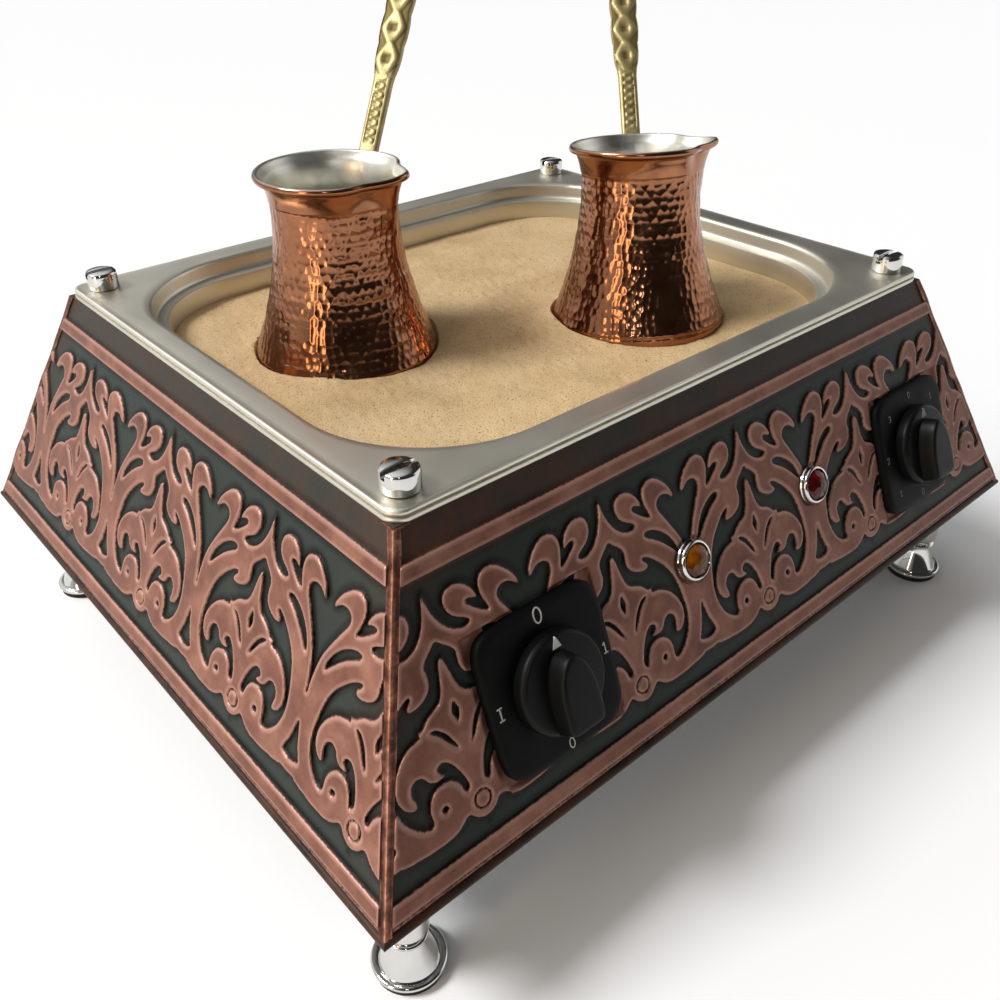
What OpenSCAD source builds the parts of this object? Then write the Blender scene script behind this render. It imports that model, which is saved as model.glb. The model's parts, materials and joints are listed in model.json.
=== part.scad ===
// Electric sand heater for coffee pots, with two cezves standing in its sand.
// The front panel faces -Y, X runs to the right along it, and Z = 0 is the table top.

/* [Casing] */
// Width of the casing along its top edge
top_w = 325; // [315:1:345]
// Depth of the casing along its top edge
top_d = 265; // [255:1:285]
// Height of the casing from its bottom edge to its top edge
casing_h = 120; // [112:1:140]
// How far each side leans out from top to bottom
flare = 50; // [44:1:60]
// Clear height under the casing's bottom edge
foot_h = 61; // [50:1:75]
// Thickness of the copper sheet
sheet_t = 1.5; // [1:0.1:2]
// Width of a folded seam strip on each side of a corner
seam_w = 3.2; // [2:0.1:5]
// Thickness of a folded seam strip
seam_t = 0.8; // [0.5:0.1:1.2]
// Diameter of the rolled bottom edge
bead_d = 4; // [3:0.5:6]
// Height of the raised bands and scrollwork above the sheet
relief_t = 1; // [0.4:0.1:1.2]
// Width of the lower raised band
low_band_w = 7; // [4:0.5:9]
// Distance up the slope to the lower raised band
low_band_up = 6; // [5:0.5:8]
// Width of the upper raised band
high_band_w = 6.5; // [4:0.5:9]
// Distance up the slope to the upper raised band
high_band_up = 111; // [100:0.5:112]
// Half the repeat of the scrollwork, from the middle of a heart to the middle of a palmette
scroll_w = 41.4; // [36:0.2:46]
// Height of the scrollwork up the slope
scroll_h = 84; // [76:0.5:86]
// Distance up the slope to the foot of the scrollwork
scroll_up = 21; // [18:0.5:22]
// Width of the folded return at the bottom of each panel
return_w = 10; // [8:0.5:12]
// Thickness of the base plate
base_t = 2; // [1.5:0.5:3]
// Gap round the base plate
base_gap = 0.8; // [0.4:0.1:1.5]
// Leg of the triangular gusset in each top corner
gusset_leg = 36; // [30:1:40]
// Thickness of a gusset
gusset_t = 2; // [1.5:0.5:3]
// Depth of the gussets below the casing's top edge
gusset_deep = 14; // [11:0.5:16]
// Wall of the boss that takes a pan screw
boss_wall = 3; // [2:0.5:4]

/* [Pan and sand] */
// Height of the pan's turned-down lip
lip_h = 4.5; // [3:0.5:8]
// Outer corner radius of the pan's flange
lip_r = 12; // [8:1:18]
// Width of the flange from its outer edge to the mouth
flange_w = 14; // [12:0.5:18]
// Corner radius of the mouth
mouth_r = 60; // [45:1:70]
// Thickness of the pan's steel
pan_t = 1; // [0.6:0.1:1.5]
// Depth of the pan
pan_depth = 65; // [55:1:70]
// Depth from the flange to the stacking shoulder
shoulder_deep = 8.5; // [6:0.5:12]
// Width of the stacking shoulder
shoulder_w = 6; // [4:0.5:9]
// Depth from the flange to the sand
sand_deep = 19; // [15:0.5:24]
// Gap between the sand and the pan
sand_gap = 0.3; // [0.2:0.1:0.5]
// Distance of the pan screws from the flange's edges
screw_inset = 12; // [11:0.5:14]
// Diameter of a pan screw's head
screw_head_d = 14.4; // [12:0.2:17]
// Height of a pan screw's head
screw_head_h = 9; // [6:0.5:10.5]
// Width and depth of the slot in a pan screw's head
screw_slot = 2.4; // [1.6:0.2:3]
// Thread diameter of the pan screws
screw_d = 6; // [5:0.5:6.5]

/* [Feet] */
// Distance of a foot's axis from the casing's bottom edges
foot_inset = 24; // [22:0.5:32]
// Diameter of a foot's base rim
foot_base_d = 30; // [24:1:36]
// Diameter of a foot's shank
foot_shank_d = 18; // [14:1:20]
// Diameter of the top of a foot's bell
foot_bell_d = 14; // [11:0.5:16]
// Height of the foot's bell above the pad
foot_bell_h = 18; // [14:1:22]
// Thickness of the rubber pad
pad_h = 3; // [2:0.5:4]
// Thread diameter of the foot studs
stud_d = 8; // [6:0.5:9]
// Height of a foot's nut
foot_nut_h = 6.5; // [5:0.5:8]

/* [Controls] */
// Distance up the slope to the switch centres
switch_up = 53.5; // [48:0.5:58]
// Distance of the left switch from the casing's left bottom corner
left_switch_in = 91.5; // [85:0.5:98]
// Distance of the right switch from the casing's right bottom corner
right_switch_in = 81.5; // [80:0.5:95]
// Side of a switch plate
plate_w = 60; // [54:1:64]
// Corner radius of a switch plate
plate_r = 12; // [6:1:16]
// Thickness of a switch plate
plate_t = 4.5; // [4:0.5:6]
// Diameter of a knob's skirt
knob_d = 40; // [32:1:44]
// Height of a knob's skirt
skirt_h = 6; // [4:0.5:8]
// Height of a knob's grip above the skirt
grip_h = 10; // [7:0.5:13]
// Diameter of a switch shaft
shaft_d = 6; // [5:0.5:7]
// Side of a switch body
switch_w = 30; // [24:1:32]
// Depth of a switch body behind the panel
switch_deep = 32; // [24:1:36]
// Diameter of the threaded bush of a switch
bush_d = 16; // [12:0.5:18]
// Distance up the slope to the lamp centres
lamp_up = 63.5; // [58:0.5:70]
// Place of the amber lamp along the front
amber_lamp_x = -37; // [-50:1:-25]
// Place of the red lamp along the front
red_lamp_x = 48; // [35:1:60]
// Diameter of a lamp bezel
bezel_d = 18.4; // [16:0.2:20]
// Diameter of a lamp lens
lens_d = 14; // [12:0.2:15]
// Height of a lamp bezel above the panel
bezel_h = 4.5; // [3:0.5:6]
// Diameter of a lamp holder
holder_d = 12; // [9:0.5:12.5]
// Depth of a lamp holder behind the panel
holder_deep = 24; // [18:1:30]

/* [Heater] */
// Diameter of the heating tube
tube_d = 8; // [6.5:0.5:9]
// Spacing of the heating tube's legs
leg_gap = 40; // [34:1:44]
// Distance from the ends of the straight legs to the pan's well
leg_end = 57.5; // [50:0.5:65]
// Distance of the clamp bars from the middle
bar_x = 60; // [45:1:70]
// Width of a clamp bar
bar_w = 15; // [12:1:20]
// Thickness of a clamp bar
bar_t = 2; // [1.5:0.5:3]
// Diameter of the heater studs
heater_stud_d = 5; // [4:0.5:6]
// How far the insulation board reaches past the legs on each side
board_over = 25; // [15:1:30]
// Thickness of the insulation board
board_t = 8; // [5:1:10]
// Thickness of the heat shield
shield_t = 1.2; // [0.8:0.1:2]

/* [Gland and terminals] */
// Place of the cable gland along the rear, seen from behind
gland_x = -120; // [-140:1:-90]
// Distance up the slope to the cable gland
gland_up = 56; // [45:1:64]
// Diameter of the cable that the gland takes
cable_d = 8; // [6:0.5:9]
// Diameter of the gland's thread
gland_d = 15.6; // [14:0.2:18]
// Length of the terminal block
block_l = 62; // [50:1:70]
// Width of the terminal block
block_w = 20; // [16:1:24]
// Height of the terminal block
block_h = 18; // [14:1:22]
// Distance of the terminal block from the casing's rear bottom edge
block_in = 62; // [55:1:70]
// Distance of the front wires from the casing's front bottom edge
harness_in = 70; // [64:1:76]

/* [Cezves] */
// Height of a pot above the sand
pot_h = 81; // [75:1:95]
// How deep a pot stands in the sand
pot_bury = 6; // [4:0.5:9]
// Radius of a pot at the sand
pot_base_r = 43; // [40:0.5:46]
// Radius of a pot at its neck
pot_neck_r = 28; // [25:0.5:31]
// Height of the neck above the sand
pot_neck_h = 66; // [58:1:68]
// Radius of a pot at its rim
pot_rim_r = 32.4; // [30:0.2:35]
// Wall of a pot
pot_t = 1.2; // [1:0.1:1.6]
// How far the spout stands out past the rim
spout_out = 3.6; // [2:0.2:5]
// Radius of the spout's mouth
spout_r = 9; // [7:0.5:11]
// Width of the handle at the pot
handle_w = 9.2; // [7:0.2:11]
// Width of the handle's broad part
handle_broad_w = 13.8; // [11:0.2:16]
// Thickness of the handle
handle_t = 4.2; // [3:0.2:5]
// Length of the handle's arm
handle_len = 118; // [90:1:140]
// Rise of the handle's arm above level
handle_rise = 52; // [45:1:60]
// Diameter of the handle's rivets
rivet_d = 3.6; // [3:0.2:4.4]
// Place of the left pot across the front
left_pot_x = -76; // [-85:1:-70]
// Place of the left pot from front to back
left_pot_y = 24; // [10:1:40]
// Direction of the left pot's handle, anticlockwise from +X
left_pot_turn = 29; // [0:1:60]
// Place of the right pot across the front
right_pot_x = 53.4; // [48:0.2:66]
// Place of the right pot from front to back
right_pot_y = -43.3; // [-50:0.1:-30]
// Direction of the right pot's handle, anticlockwise from +X
right_pot_turn = 49; // [20:1:70]
// Lean of the right pot in the sand
right_pot_lean = 6.4; // [0:0.2:8]
// Direction in which the right pot leans, anticlockwise from +X
right_pot_lean_to = 66; // [40:1:90]

/* [Hidden] */
$fn = 64;

// Clearances: a free hole round a thread, a running fit, and faces that must not touch
hole_gap = 0.2;
run_gap = 0.05;
free_gap = 0.3;
// Overshoot of a cutting shape past the face it cuts
cut = 1;

// Casing, worked out from its driving sizes
lean = atan(flare / casing_h);
slant = sqrt(flare * flare + casing_h * casing_h);
bot_w = top_w + 2 * flare;
bot_d = top_d + 2 * flare;
casing_top = foot_h + casing_h;
sheet_level = sheet_t / cos(lean);
base_z = foot_h + sheet_t;
base_top = base_z + base_t;
base_in = sheet_level + (sheet_t + base_t) * tan(lean) + base_gap;
base_screw_in = sheet_level + return_w / 2 + 1;
base_screw_d = 4;
gusset_z = casing_top - gusset_deep;
boss_d = screw_d + 2 * boss_wall;

// Pan and sand levels
flange_top = casing_top + lip_h;
mouth_w = top_w - 2 * flange_w;
mouth_d = top_d - 2 * flange_w;
well_w = mouth_w - 2 * shoulder_w;
well_d = mouth_d - 2 * shoulder_w;
well_r = mouth_r - shoulder_w;
shoulder_z = flange_top - shoulder_deep;
pan_z = flange_top - pan_depth;
sand_z = flange_top - sand_deep;
screw_len = 16;

// Heater stack, from the pan's bottom downwards
tube_z = pan_z - tube_d / 2 - hole_gap;
bar_z = tube_z - tube_d / 2 - hole_gap - bar_t;
nut_h = 4;
board_z = bar_z - nut_h - free_gap - board_t;
shield_z = board_z - shield_t;
heater_stud_end = shield_z - nut_h - 2;
leg_len = well_w - 2 * leg_end;
board_w = leg_len + 2 * board_over;
board_d = 3 * leg_gap + 2 * board_over;

// Controls
left_switch_x = left_switch_in - bot_w / 2;
right_switch_x = bot_w / 2 - right_switch_in;
nut_t = 3;
switch_nut_af = bush_d + 6;
recess_d = switch_nut_af / cos(30) + 1;
knob_gap = 0.5;
shaft_in_knob = 11;
shaft_in_body = 12;
lamp_nut_af = holder_d + 4;
gland_hex_af = gland_d + 6;
gland_hex_h = 6;
gland_cap_h = 12;
gland_reach = 10;
block_x = 40;
terminal_d = 6;
terminal_deep = 6;
block_y = bot_d / 2 - block_in;
earth_x = -60;

// Cezve
neck_power = 1.9;
base_round = 5;
rim_power = 2;
profile_steps = 12;
handle_plate_h = 22;
handle_plate_low = 16;
handle_plate_t = 2.6;
handle_seat = pot_neck_r + 1.3;
rivet_low = 12;
rivet_gap = 7.5;
spout_drop = 36;

copper = [0.72, 0.43, 0.31];
dark_copper = [0.45, 0.27, 0.2];
steel = [0.62, 0.61, 0.57];
chrome_tone = [0.85, 0.85, 0.86];
black = [0.06, 0.06, 0.06];
sand_tone = [0.78, 0.66, 0.46];
brass_tone = [0.83, 0.7, 0.36];

// Scrollwork, half a repeat: outlines in hundredths of its half width and of its height.
// Raised work with its leaf scrolls along the top and its scalloped foot
scroll_raised = [
  [0, 42], [11, 66], [29, 83], [23, 88], [7, 85], [14, 94], [31, 98], [45, 95], [41, 82], [53, 88],
  [56, 95], [68, 98], [81, 96], [82, 90], [63, 82], [78, 81], [94, 90], [100, 100],
  [100, 0], [83, 5], [67, 1], [13, 2], [0, 2]
];
// Sunk ground between the stem and the palmette
scroll_ground = [
  [101, 73], [93, 63], [84, 55], [61, 48], [41, 43], [27, 33], [29, 24], [40, 21], [40, 30], [47, 32],
  [61, 27], [73, 27], [68, 31], [76, 32], [90, 21], [89, 15], [82, 21], [71, 24], [56, 22], [50, 14],
  [46, 10], [30, 16], [22, 29], [27, 45], [43, 59], [63, 65], [59, 60], [76, 61], [84, 67], [84, 73],
  [101, 81]
];
// Sunk slit along a leaf of the heart, and the dart in the stem below it
scroll_slit = [[14, 58], [22, 67], [40, 74], [54, 75], [37, 68]];
scroll_dart = [[-1, 8], [12, 11], [4, 21], [-1, 28]];
// Place of a heart's middle on each side, from the middle of the side
scroll_start = [-36.5, -29.5, 36.5, 29.5];

// A side of the casing: 0 front, 1 right, 2 rear, 3 left
function side_w(i) = i % 2 == 0 ? bot_w : bot_d;
function side_d(i) = i % 2 == 0 ? bot_d : bot_w;
// Half the width of a side at a distance up its slope
function half_w(i, up) = side_w(i) / 2 - flare * up / slant;
function slope_band(i, up0, up1, trim = 0) = [
  [trim - half_w(i, up0), up0], [half_w(i, up0) - trim, up0],
  [half_w(i, up1) - trim, up1], [trim - half_w(i, up1), up1]
];
// Half sizes of the space inside the casing at a height above its bottom edge
function inside_half(bottom, z) = bottom / 2 - sheet_level - z * tan(lean);

// Puts children on the outer face of a side: x to the right, y up the slope, z outwards
module on_side(i, x = 0, up = 0) {
  rotate([0, 0, 90 * i])
    translate([0, -side_d(i) / 2, foot_h])
      rotate([90 - lean, 0, 0])
        translate([x, up, 0]) children();
}

module at_corners(x, y) {
  for (sx = [-1, 1], sy = [-1, 1]) translate([sx * x, sy * y, 0]) children();
}

module rounded_rect(w, d, r) {
  square([w - 2 * r, d], center = true);
  square([w, d - 2 * r], center = true);
  for (sx = [-1, 1], sy = [-1, 1]) translate([sx * (w / 2 - r), sy * (d / 2 - r)]) circle(r);
}

module rounded_block(w, d, r, z0, z1) {
  translate([0, 0, z0]) linear_extrude(z1 - z0) rounded_rect(w, d, r);
}

module hex(af, h) {
  cylinder(d = af / cos(30), h = h, $fn = 6);
}

module hex_nut(af, bore, h) {
  difference() {
    hex(af, h);
    translate([0, 0, -cut]) cylinder(d = bore, h = h + 2 * cut);
  }
}

// A round bar from one point to another
module bar_between(a, b, d) {
  v = b - a;
  translate(a)
    rotate([0, acos(v.z / norm(v)), atan2(v.y, v.x)])
      cylinder(d = d, h = norm(v));
}

// The upright wedge that mitres one side of the casing at both of its corners
module mitre_wedge(i) {
  w = side_w(i) / 2;
  d = side_d(i) / 2;
  out = bead_d + 2 * cut;
  inner = flare + return_w + sheet_level + bead_d;
  rotate([0, 0, 90 * i])
    translate([0, 0, foot_h - cut])
      linear_extrude(casing_h + cut)
        polygon([[-w - out, -d - out], [w + out, -d - out],
                 [w - inner, inner - d], [inner - w, inner - d]]);
}

function scroll_points(list) = [for (p = list) [p.x * scroll_w / 100, p.y * scroll_h / 100]];

module scroll_half() {
  difference() {
    polygon(scroll_points(scroll_raised));
    polygon(scroll_points(scroll_ground));
    polygon(scroll_points(scroll_slit));
    polygon(scroll_points(scroll_dart));
  }
}

// What lies flat on a side and keeps the scrollwork clear of it
module fittings(i) {
  if (i == 0) {
    for (x = [left_switch_x, right_switch_x]) translate([x, switch_up])
      rounded_rect(plate_w + 2 * free_gap, plate_w + 2 * free_gap, plate_r);
    for (x = [amber_lamp_x, red_lamp_x]) translate([x, lamp_up]) circle(d = bezel_d + 2 * free_gap);
  }
  if (i == 2) translate([gland_x, gland_up]) circle(d = gland_hex_af / cos(30) + 2 * free_gap);
}

// Scrollwork that repeats along a side, mirrored at each heart and palmette and cut by the seams
module scrollwork(i, trim) {
  copies = floor(half_w(i, scroll_up) / (2 * scroll_w) + 0.5);
  difference() {
    intersection() {
      polygon(slope_band(i, scroll_up, scroll_up + scroll_h, trim));
      for (k = [-copies:copies]) translate([scroll_start[i] + 2 * k * scroll_w, scroll_up]) {
        scroll_half();
        mirror([1, 0]) scroll_half();
      }
    }
    fittings(i);
  }
}

// One copper panel: the leaning sheet, raised bands and scrollwork, the rolled edge and the return
module panel(i) {
  over = 2;
  trim = seam_w + 1;
  color(copper) intersection() {
    union() {
      on_side(i) {
        linear_extrude(relief_t) scrollwork(i, trim);
        translate([0, 0, -sheet_t])
          linear_extrude(sheet_t) polygon(slope_band(i, bead_d / 2, slant + over));
        linear_extrude(relief_t)
          polygon(slope_band(i, low_band_up, low_band_up + low_band_w, trim));
        linear_extrude(relief_t)
          polygon(slope_band(i, high_band_up, high_band_up + high_band_w, trim));
        translate([-side_w(i) / 2 - over, bead_d / 2, -sheet_t / 2])
          rotate([0, 90, 0]) cylinder(d = bead_d, h = side_w(i) + 2 * over);
      }
      rotate([0, 0, 90 * i])
        translate([-side_w(i) / 2, -side_d(i) / 2 + sheet_level, foot_h])
          cube([side_w(i), return_w, sheet_t]);
    }
    mitre_wedge(i);
  }
}

module base_screw_places() {
  x = bot_w / 2 - base_screw_in;
  y = bot_d / 2 - base_screw_in;
  for (sx = [-1, 1], sy = [-1, 1]) {
    translate([sx * bot_w / 4, sy * y, 0]) children();
    translate([sx * x, sy * bot_d / 4, 0]) children();
  }
}

module base_screw_holes() {
  translate([0, 0, foot_h - cut])
    base_screw_places() cylinder(d = base_screw_d + hole_gap, h = 2 * cut + sheet_t + base_t);
}

module front_panel() {
  difference() {
    panel(0);
    base_screw_holes();
    for (x = [left_switch_x, right_switch_x])
      on_side(0, x, switch_up) translate([0, 0, -sheet_t - cut])
        cylinder(d = bush_d + hole_gap, h = sheet_t + 2 * cut);
    for (x = [amber_lamp_x, red_lamp_x])
      on_side(0, x, lamp_up) translate([0, 0, -sheet_t - cut])
        cylinder(d = holder_d + hole_gap, h = sheet_t + 2 * cut);
  }
}

module rear_panel() {
  difference() {
    panel(2);
    base_screw_holes();
    on_side(2, gland_x, gland_up) translate([0, 0, -sheet_t - cut])
      cylinder(d = gland_d + hole_gap, h = sheet_t + 2 * cut);
  }
}

module left_panel() {
  difference() {
    panel(3);
    base_screw_holes();
  }
}

module right_panel() {
  difference() {
    panel(1);
    base_screw_holes();
  }
}

// One leg of a seam strip, along the left (-1) or right (1) edge of a side
module seam_leg(i, edge) {
  up0 = bead_d + 1;
  over = 2;
  intersection() {
    on_side(i) linear_extrude(seam_t) polygon([
      [edge * (half_w(i, up0) - seam_w), up0], [edge * (half_w(i, up0) + over), up0],
      [edge * (half_w(i, slant) + over), slant + over],
      [edge * (half_w(i, slant) - seam_w), slant + over]
    ]);
    mitre_wedge(i);
  }
}

module corner_seams() {
  color(dark_copper) for (i = [0:3]) {
    seam_leg(i, 1);
    seam_leg((i + 1) % 4, -1);
  }
}

// A gusset brazed inside each top corner, with the threaded boss for a pan screw
module corner_gussets() {
  top = gusset_z - foot_h + gusset_t;
  x = inside_half(bot_w, top) - hole_gap;
  y = inside_half(bot_d, top) - hole_gap;
  boss_x = top_w / 2 - screw_inset;
  boss_y = top_d / 2 - screw_inset;
  color(steel) for (sx = [0, 1], sy = [0, 1]) mirror([sx, 0, 0]) mirror([0, sy, 0]) difference() {
    union() {
      translate([0, 0, gusset_z])
        linear_extrude(gusset_t) polygon([[x, y], [x - gusset_leg, y], [x, y - gusset_leg]]);
      translate([boss_x, boss_y, gusset_z]) cylinder(d = boss_d, h = flange_top - pan_t - gusset_z);
    }
    translate([boss_x, boss_y, flange_top - pan_t - screw_len - cut])
      cylinder(d = screw_d + hole_gap, h = screw_len + 2 * cut);
  }
}

module foot_places() {
  at_corners(bot_w / 2 - foot_inset, bot_d / 2 - foot_inset) children();
}

module base_plate() {
  color(steel) difference() {
    translate([base_in - bot_w / 2, base_in - bot_d / 2, base_z])
      cube([bot_w - 2 * base_in, bot_d - 2 * base_in, base_t]);
    base_screw_holes();
    translate([0, 0, base_z - cut])
      foot_places() cylinder(d = stud_d + hole_gap, h = base_t + 2 * cut);
  }
}

module base_screws() {
  head_d = 2 * base_screw_d;
  head_h = 2.4;
  color(steel) base_screw_places() {
    translate([0, 0, foot_h - head_h]) cylinder(d = head_d, h = head_h);
    translate([0, 0, foot_h - cut]) cylinder(d = base_screw_d, h = cut + sheet_t + base_t + 3);
  }
}

// A turned foot: rim, bell, groove, shank and stud
module foot(sx, sy) {
  rim_h = 2.5;
  rim_w = 2.8;
  groove_h = 2.5;
  groove_r = foot_bell_d / 2 - 1.6;
  base_r = foot_base_d / 2;
  bell_r = foot_bell_d / 2;
  bell_z = pad_h + foot_bell_h;
  steps = 10;
  bell = [for (k = [0:steps]) [
    bell_r + (base_r - rim_w - bell_r) * pow(1 - k / steps, 1.3),
    pad_h + rim_h + (foot_bell_h - rim_h) * k / steps
  ]];
  nose = 1.2;
  edge = 0.8;
  stud_end = base_top + foot_nut_h + 2.5;
  shank_z = bell_z + groove_h;
  color(chrome_tone)
    translate([sx * (bot_w / 2 - foot_inset), sy * (bot_d / 2 - foot_inset), 0])
      rotate_extrude() polygon(concat(
        [[0, pad_h], [base_r - edge, pad_h], [base_r, pad_h + edge],
         [base_r, pad_h + rim_h - edge], [base_r - edge, pad_h + rim_h]],
        bell,
        [[groove_r, bell_z + 0.4], [groove_r, shank_z], [foot_shank_d / 2 - nose, shank_z],
         [foot_shank_d / 2, shank_z + nose], [foot_shank_d / 2, base_z], [stud_d / 2, base_z],
         [stud_d / 2, stud_end], [0, stud_end]]
      ));
}

module foot_front_left() { foot(-1, -1); }
module foot_front_right() { foot(1, -1); }
module foot_rear_left() { foot(-1, 1); }
module foot_rear_right() { foot(1, 1); }

module foot_pads() {
  color(black) foot_places() cylinder(d = foot_base_d - 2, h = pad_h);
}

module foot_nuts() {
  color(steel) translate([0, 0, base_top])
    foot_places() hex_nut(1.6 * stud_d, stud_d + hole_gap, foot_nut_h);
}

module sand_pan() {
  color(steel) difference() {
    union() {
      rounded_block(top_w, top_d, lip_r, flange_top - pan_t, flange_top);
      difference() {
        rounded_block(top_w, top_d, lip_r, casing_top, flange_top);
        rounded_block(top_w - 2 * pan_t, top_d - 2 * pan_t, lip_r - pan_t,
                      casing_top - cut, flange_top - pan_t);
      }
      rounded_block(mouth_w + 2 * pan_t, mouth_d + 2 * pan_t, mouth_r + pan_t,
                    shoulder_z - pan_t, flange_top);
      rounded_block(well_w + 2 * pan_t, well_d + 2 * pan_t, well_r + pan_t, pan_z, shoulder_z);
    }
    rounded_block(mouth_w, mouth_d, mouth_r, shoulder_z, flange_top + cut);
    rounded_block(well_w, well_d, well_r, pan_z + pan_t, shoulder_z + cut);
    translate([0, 0, flange_top - pan_t - cut])
      at_corners(top_w / 2 - screw_inset, top_d / 2 - screw_inset)
        cylinder(d = screw_d + 2 * hole_gap, h = pan_t + 2 * cut);
  }
}

module pan_screws() {
  edge = 1;
  dome = 1.2;
  r = screw_head_d / 2;
  color(chrome_tone) translate([0, 0, flange_top])
    at_corners(top_w / 2 - screw_inset, top_d / 2 - screw_inset) difference() {
      union() {
        rotate_extrude() polygon([
          [0, 0], [r, 0], [r, screw_head_h - dome - edge], [r - edge, screw_head_h - dome],
          [r / 2, screw_head_h - dome / 4], [0, screw_head_h]
        ]);
        translate([0, 0, -screw_len]) cylinder(d = screw_d, h = screw_len + cut);
      }
      translate([-r - cut, -screw_slot / 2, screw_head_h - screw_slot])
        cube([2 * (r + cut), screw_slot, screw_slot + cut]);
    }
}

// Puts a pot, drawn with its axis on Z and the sand at Z = 0, where it stands
module at_left_cezve() {
  translate([left_pot_x, left_pot_y, sand_z]) rotate([0, 0, left_pot_turn]) children();
}

module at_right_cezve() {
  translate([right_pot_x, right_pot_y, sand_z])
    rotate([0, 0, right_pot_lean_to]) rotate([0, right_pot_lean, 0])
      rotate([0, 0, right_pot_turn - right_pot_lean_to]) children();
}

module pot_pocket() {
  translate([0, 0, -pot_bury]) cylinder(r = pot_base_r + free_gap, h = pot_bury + sand_deep);
}

module sand_bed() {
  color(sand_tone) difference() {
    rounded_block(well_w - 2 * sand_gap, well_d - 2 * sand_gap, well_r - sand_gap,
                  pan_z + pan_t, sand_z);
    at_left_cezve() pot_pocket();
    at_right_cezve() pot_pocket();
  }
}

// The heating tube: four legs along X joined by three bends, with both ends to the right
module heating_element() {
  ys = [for (k = [-1.5:1:1.5]) k * leg_gap];
  color([0.3, 0.29, 0.28]) translate([0, 0, tube_z]) {
    for (y = ys) translate([-leg_len / 2, y, 0]) rotate([0, 90, 0]) cylinder(d = tube_d, h = leg_len);
    for (k = [0:2]) {
      left = k != 1;
      translate([(left ? -1 : 1) * leg_len / 2, (ys[k] + ys[k + 1]) / 2, 0])
        rotate([0, 0, left ? 90 : -90])
          rotate_extrude(angle = 180) translate([leg_gap / 2, 0]) circle(d = tube_d);
    }
  }
}

// Insulated end of each outer leg, with its terminal pin
module element_pins() {
  collar = 6;
  pin = 14;
  color([0.85, 0.83, 0.78]) for (s = [-1, 1])
    translate([leg_len / 2, s * 1.5 * leg_gap, tube_z]) rotate([0, 90, 0]) {
      cylinder(d = tube_d, h = collar);
      cylinder(d = tube_d / 2, h = collar + pin);
    }
}

module heater_stud_places() {
  at_corners(bar_x, leg_gap) children();
}

module clamp_bars() {
  over = 12;
  color(steel) difference() {
    for (s = [-1, 1])
      translate([s * bar_x - bar_w / 2, -1.5 * leg_gap - over, bar_z])
        cube([bar_w, 3 * leg_gap + 2 * over, bar_t]);
    translate([0, 0, bar_z - cut])
      heater_stud_places() cylinder(d = heater_stud_d + hole_gap, h = bar_t + 2 * cut);
  }
}

module heater_studs() {
  color(steel) translate([0, 0, heater_stud_end])
    heater_stud_places() cylinder(d = heater_stud_d, h = pan_z - heater_stud_end);
}

module heater_nuts() {
  af = 1.6 * heater_stud_d;
  color(steel) for (z = [bar_z - nut_h, shield_z - nut_h])
    translate([0, 0, z]) heater_stud_places() hex_nut(af, heater_stud_d + hole_gap, nut_h);
}

module insulation_board() {
  color([0.9, 0.88, 0.82]) difference() {
    translate([-board_w / 2, -board_d / 2, board_z]) cube([board_w, board_d, board_t]);
    translate([0, 0, board_z - cut])
      heater_stud_places() cylinder(d = heater_stud_d + 1, h = board_t + 2 * cut);
  }
}

module heat_shield() {
  rim_h = board_t + 4;
  gap = 0.5;
  wall = shield_t + gap;
  color(steel) difference() {
    translate([-board_w / 2 - wall, -board_d / 2 - wall, shield_z])
      cube([board_w + 2 * wall, board_d + 2 * wall, rim_h + shield_t]);
    translate([-board_w / 2 - gap, -board_d / 2 - gap, board_z])
      cube([board_w + 2 * gap, board_d + 2 * gap, rim_h + cut]);
    translate([0, 0, shield_z - cut])
      heater_stud_places() cylinder(d = heater_stud_d + hole_gap, h = shield_t + 2 * cut);
  }
}

module thermal_cutout() {
  d = 16;
  h = bar_t + tube_d - 1;
  tab = [0.8, 4, 2.5];
  tab_out = 2;
  color(black) {
    translate([0, 0, pan_z - h]) cylinder(d = d, h = h);
    for (s = [-1, 1])
      translate([s * 5 - tab.x / 2, -tab.y / 2, pan_z - h - tab_out]) cube(tab);
  }
}

module terminal_places() {
  for (k = [-1.5:1:1.5])
    translate([block_x + k * block_l / 4, block_y, base_top + block_h - terminal_deep]) children();
}

module terminal_block() {
  color([0.9, 0.9, 0.87]) difference() {
    translate([block_x - block_l / 2, block_y - block_w / 2, base_top]) cube([block_l, block_w, block_h]);
    terminal_places() cylinder(d = terminal_d, h = terminal_deep + cut);
  }
}

module terminal_screws() {
  color(brass_tone) terminal_places() cylinder(d = terminal_d - hole_gap, h = terminal_deep - 2);
}

module earth_stud() {
  d = 5;
  color(brass_tone) translate([earth_x, block_y, base_top]) {
    cylinder(d = d, h = block_h - 2);
    for (z = [0, 1.5 * nut_h]) translate([0, 0, z]) hex(1.6 * d, nut_h);
  }
}

module cable_gland() {
  inner_d = cable_d + 3;
  color(black) on_side(2, gland_x, gland_up) difference() {
    union() {
      translate([0, 0, -sheet_t - gland_reach]) cylinder(d = gland_d, h = sheet_t + gland_reach + cut);
      hex(gland_hex_af, gland_hex_h);
    }
    translate([0, 0, -sheet_t - gland_reach - cut])
      cylinder(d = inner_d, h = sheet_t + gland_reach + gland_hex_h + 2 * cut);
  }
}

module gland_cap() {
  r = gland_hex_af / 2 - 0.5;
  crown = 3;
  color(black) on_side(2, gland_x, gland_up) translate([0, 0, gland_hex_h]) rotate_extrude() polygon([
    [cable_d / 2, 0], [r, 0], [r, gland_cap_h - crown], [cable_d / 2 + 1.5, gland_cap_h],
    [cable_d / 2, gland_cap_h]
  ]);
}

module gland_locknut() {
  h = 4;
  color(black) on_side(2, gland_x, gland_up) translate([0, 0, -sheet_t - h])
    hex_nut(gland_hex_af, gland_d + hole_gap, h);
}

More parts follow.
